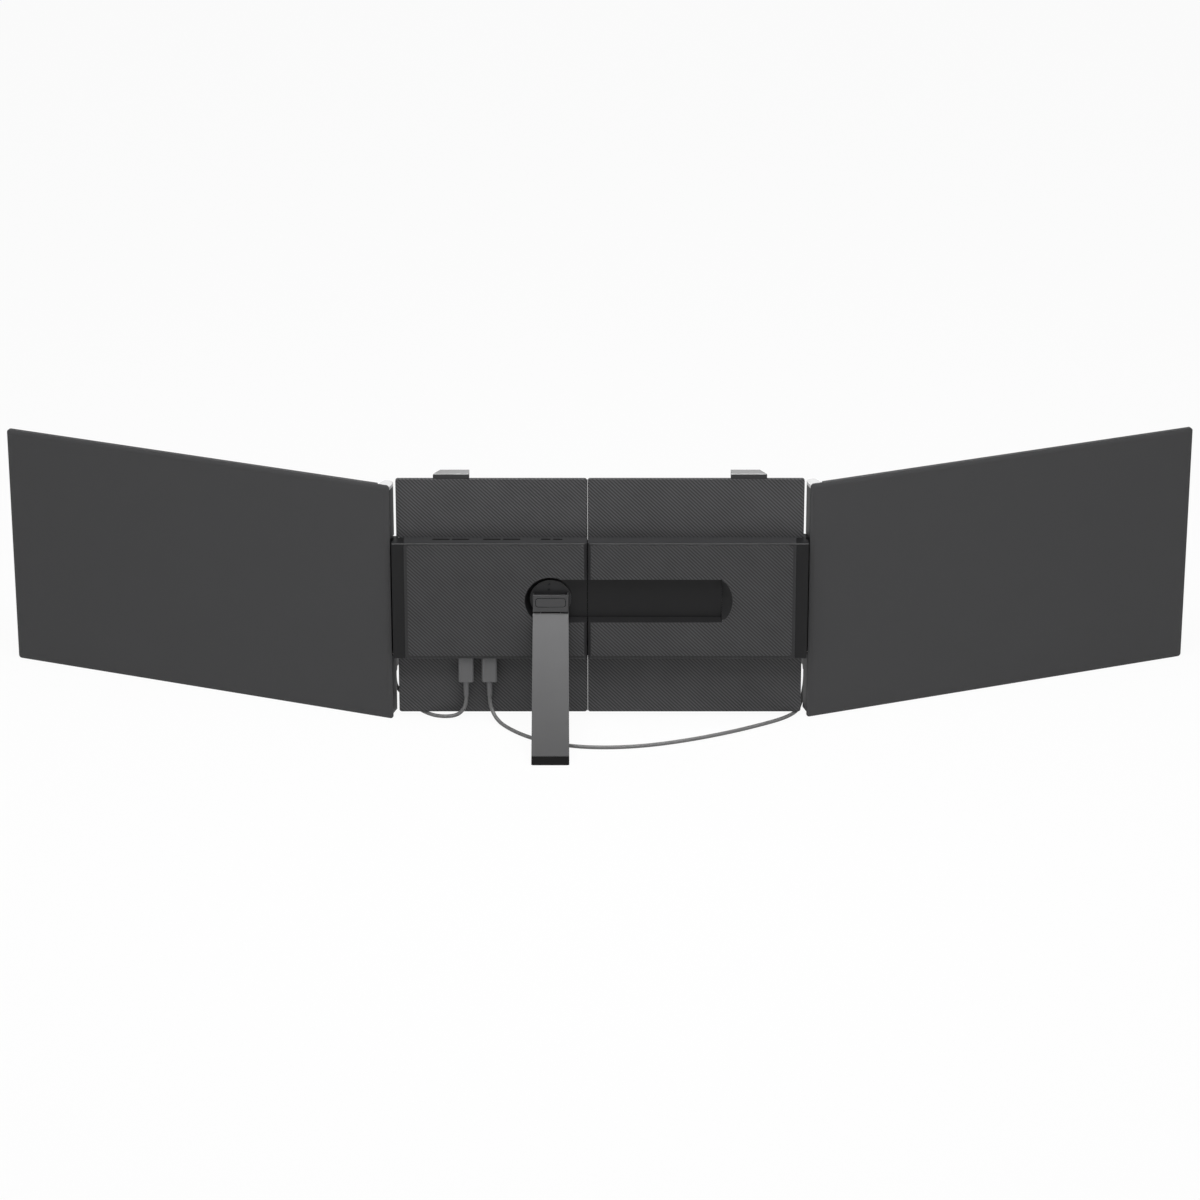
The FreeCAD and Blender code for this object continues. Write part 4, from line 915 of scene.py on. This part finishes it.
def screw_head(place, radius, height, outward, slot):
    """One domed screw head with a cross cut, facing along Y."""
    bpy.ops.object.select_all(action="DESELECT")
    bpy.ops.mesh.primitive_cylinder_add(
        vertices=32, radius=radius, depth=height, location=(0, 0, 0)
    )
    head = bpy.context.active_object
    head.name = "screw"
    bpy.ops.object.mode_set(mode="EDIT")
    bpy.ops.mesh.select_all(action="SELECT")
    bpy.ops.object.mode_set(mode="OBJECT")
    for face in head.data.polygons:
        face.select = face.normal.z > 0.9
    for edge in head.data.edges:
        edge.select = False
    bpy.ops.object.mode_set(mode="EDIT")
    bpy.ops.mesh.select_mode(type="FACE")
    bpy.ops.mesh.inset(thickness=radius * RIM_WIDTH, depth=0)
    bpy.ops.object.mode_set(mode="OBJECT")
    rim = [v for v in head.data.vertices if v.co.z > 0 and v.co.xy.length > radius * 0.95]
    for vertex in rim:
        vertex.co.z -= height * RIM_DROP
    for turn in (0, math.pi / 2):
        bpy.ops.object.select_all(action="DESELECT")
        bpy.ops.mesh.primitive_cube_add(
            size=1, location=(0, 0, height * CROSS_DEPTH / 2), rotation=(0, 0, turn)
        )
        cutter = bpy.context.active_object
        cutter.scale = (radius * CROSS_REACH, slot, height * CROSS_DEPTH)
        settled(cutter)
        pick(head)
        cut = head.modifiers.new("cross", "BOOLEAN")
        cut.object = cutter
        cut.solver = "EXACT"
        bpy.ops.object.modifier_apply(modifier=cut.name)
        bpy.data.objects.remove(cutter)
    pick(head)
    bpy.ops.object.shade_smooth_by_angle(angle=SMOOTH_BELOW_ON_SCREWS)
    head.rotation_euler = (-math.pi / 2 if outward > 0 else math.pi / 2, 0, 0)
    head.location = place
    settled(head)
    return head


def screw_shank(x, z, low, high):
    """The round shank of one housing screw, between two depths."""
    bpy.ops.object.select_all(action="DESELECT")
    bpy.ops.mesh.primitive_cylinder_add(
        vertices=24,
        radius=HOUSING_SCREW_SHANK,
        depth=high - low,
        location=(x, (low + high) / 2, z),
        rotation=(math.pi / 2, 0, 0),
    )
    shank = bpy.context.active_object
    settled(shank)
    bpy.ops.object.shade_smooth_by_angle(angle=SMOOTH_BELOW_ON_SCREWS)
    return shank


def joined(name, things):
    """Several meshes as one piece."""
    pick(things[0])
    for thing in things[1:]:
        thing.select_set(True)
    bpy.ops.object.join()
    piece = bpy.context.active_object
    piece.name = name
    return piece


class EXTENDER_OT_screws(bpy.types.Operator):
    """Make the screws that hold the housings and the turntable"""

    bl_idname = "extender.screws"
    bl_label = "Screws"

    def execute(self, context):
        slot = sizes().screw_slot
        radius, height = HOUSING_SCREW_RADIUS, HOUSING_SCREW_HEIGHT
        for side in SIDES:
            node = f"{side}_housing_screws"
            low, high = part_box(node)
            screws = []
            for x in (low.x + radius, high.x - radius):
                for z in (low.z + radius, high.z - radius):
                    place = (x, high.y - height / 2, z)
                    screws.append(screw_head(place, radius, height, 1, slot))
                    screws.append(screw_shank(x, z, low.y, high.y - height))
            piece = joined(f"{side}_housing_screws_cut", screws)
            dress(piece, "steel")
            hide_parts(node)
            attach(piece, body_of_node(node))

        node = "kickstand_screws"
        low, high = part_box(node)
        radius, height = KICKSTAND_SCREW_RADIUS, high.y - low.y
        upper = (high.x - radius, low.y + height / 2, high.z - radius)
        lower = (low.x + radius, low.y + height / 2, low.z + radius)
        heads = [screw_head(place, radius, height, -1, slot / 2) for place in (upper, lower)]
        piece = joined("kickstand_screws_cut", heads)
        dress(piece, "dark_steel")
        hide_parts(node)
        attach(piece, body_of_node(node))
        return {"FINISHED"}


class EXTENDER_OT_displays(bpy.types.Operator):
    """Add each display's picture area, a thin sheet on the glass inside its bezel"""

    bl_idname = "extender.displays"
    bl_label = "Displays"

    def execute(self, context):
        for side in SIDES:
            piece = merged_copy(f"{side}_picture_area", f"{side}_screen_glass")
            for face in piece.data.polygons:
                face.select = face.normal.y > 0.8
            bpy.ops.object.mode_set(mode="EDIT")
            bpy.ops.mesh.select_mode(type="FACE")
            bpy.ops.mesh.inset(thickness=sizes().bezel)
            bpy.ops.mesh.select_all(action="INVERT")
            bpy.ops.mesh.delete(type="FACE")
            bpy.ops.mesh.select_all(action="SELECT")
            bpy.ops.mesh.extrude_region_shrink_fatten(
                TRANSFORM_OT_shrink_fatten={"value": PICTURE_PROUD}
            )
            bpy.ops.mesh.select_all(action="SELECT")
            bpy.ops.mesh.normals_make_consistent(inside=False)
            bpy.ops.object.mode_set(mode="OBJECT")
            bpy.ops.object.shade_smooth_by_angle(angle=SMOOTH_BELOW_ON_DISPLAYS)
            dress(piece, "picture")
            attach(piece, body_of_node(f"{side}_screen_glass"))
        return {"FINISHED"}


def area_light(name, place, size, power):
    """A square soft light that points at the object's middle."""
    data = bpy.data.lights.new(name, "AREA")
    data.size = size
    data.energy = power
    lamp = bpy.data.objects.new(name, data)
    bpy.context.scene.collection.objects.link(lamp)
    lamp.location = place
    aim = Vector((0, 0, TABLE_TO_MIDDLE)) - Vector(place)
    lamp.rotation_euler = aim.to_track_quat("-Z", "Y").to_euler()


class EXTENDER_OT_stage(bpy.types.Operator):
    """Set the floor, the lights and the background"""

    bl_idname = "extender.stage"
    bl_label = "Stage"

    def execute(self, context):
        setup = studio()
        bpy.ops.object.select_all(action="DESELECT")
        bpy.ops.mesh.primitive_plane_add(size=FLOOR_SIZE, location=(0, 0, -FLOOR_DROP))
        floor = context.active_object
        floor.name = "floor"
        paper = Finish("floor_paper")
        paper.set(base_color=(0.5, 0.5, 0.5, 1.0), roughness=0.9, specular_ior_level=0.1)
        light_path = paper.tree.nodes.new("ShaderNodeLightPath")
        seen = Value(paper, light_path.outputs["Is Camera Ray"])
        glossy = Value(paper, light_path.outputs["Is Glossy Ray"])
        through = Value(paper, light_path.outputs["Is Transmission Ray"])
        glow = paper.tree.nodes.new("ShaderNodeEmission")
        glow.inputs["Color"].default_value = (1, 1, 1, 1)
        mix = paper.tree.nodes.new("ShaderNodeMixShader")
        paper.feed(mix.inputs[0], (seen + glossy + through).clamped() * FLOOR_GLOW)
        paper.tree.links.new(paper.shader.outputs[0], mix.inputs[1])
        paper.tree.links.new(glow.outputs[0], mix.inputs[2])
        output = paper.tree.nodes["Material Output"]
        paper.tree.links.new(mix.outputs[0], output.inputs["Surface"])
        floor.data.materials.append(paper.material)

        world = bpy.data.worlds.new("studio")
        world.use_nodes = True
        tree = world.node_tree
        ambient = tree.nodes["Background"]
        ambient.inputs["Color"].default_value = (1, 1, 1, 1)
        ambient.inputs["Strength"].default_value = setup.ambient
        white = tree.nodes.new("ShaderNodeBackground")
        white.inputs["Color"].default_value = (1, 1, 1, 1)
        white.inputs["Strength"].default_value = 1.0
        path = tree.nodes.new("ShaderNodeLightPath")
        most = tree.nodes.new("ShaderNodeMath")
        most.operation = "MAXIMUM"
        tree.links.new(path.outputs["Is Camera Ray"], most.inputs[0])
        tree.links.new(path.outputs["Is Transmission Ray"], most.inputs[1])
        choose = tree.nodes.new("ShaderNodeMixShader")
        tree.links.new(most.outputs[0], choose.inputs[0])
        tree.links.new(ambient.outputs[0], choose.inputs[1])
        tree.links.new(white.outputs[0], choose.inputs[2])
        tree.links.new(choose.outputs[0], tree.nodes["World Output"].inputs["Surface"])
        context.scene.world = world
        context.scene.view_settings.view_transform = "Standard"

        for name, place, size, power in LAMPS:
            area_light(name, place, size, getattr(setup, power))
        return {"FINISHED"}


class EXTENDER_PT_sidebar(bpy.types.Panel):
    """The steps and settings of the screen extender"""

    bl_idname = "EXTENDER_PT_sidebar"
    bl_label = "Screen extender"
    bl_space_type = "VIEW_3D"
    bl_region_type = "UI"
    bl_category = "Extender"

    def draw(self, context):
        layout = self.layout
        for operator in OPERATORS:
            layout.operator(operator.bl_idname)
        for group in (colours(), sizes(), studio()):
            box = layout.box()
            for name in group.__annotations__:
                box.prop(group, name)


OPERATORS = (
    EXTENDER_OT_camera,
    EXTENDER_OT_cables,
    EXTENDER_OT_mouldings,
    EXTENDER_OT_seal,
    EXTENDER_OT_vents,
    EXTENDER_OT_pad,
    EXTENDER_OT_screws,
    EXTENDER_OT_displays,
    EXTENDER_OT_stage,
)
GROUPS = (ExtenderColours, ExtenderSizes, ExtenderStudio)


def register():
    for kind in GROUPS + OPERATORS + (EXTENDER_PT_sidebar,):
        bpy.utils.register_class(kind)
    bpy.types.Scene.extender_colours = bpy.props.PointerProperty(type=ExtenderColours)
    bpy.types.Scene.extender_sizes = bpy.props.PointerProperty(type=ExtenderSizes)
    bpy.types.Scene.extender_studio = bpy.props.PointerProperty(type=ExtenderStudio)


def unregister():
    del bpy.types.Scene.extender_studio
    del bpy.types.Scene.extender_sizes
    del bpy.types.Scene.extender_colours
    for kind in reversed(GROUPS + OPERATORS + (EXTENDER_PT_sidebar,)):
        bpy.utils.unregister_class(kind)


def main():
    register()
    bpy.ops.extender.camera()
    bpy.ops.extender.cables()
    bpy.ops.extender.mouldings()
    bpy.ops.extender.seal()
    bpy.ops.extender.vents()
    bpy.ops.extender.pad()
    bpy.ops.extender.screws()
    bpy.ops.extender.displays()
    bpy.ops.extender.stage()


if __name__ == "__main__":
    main()
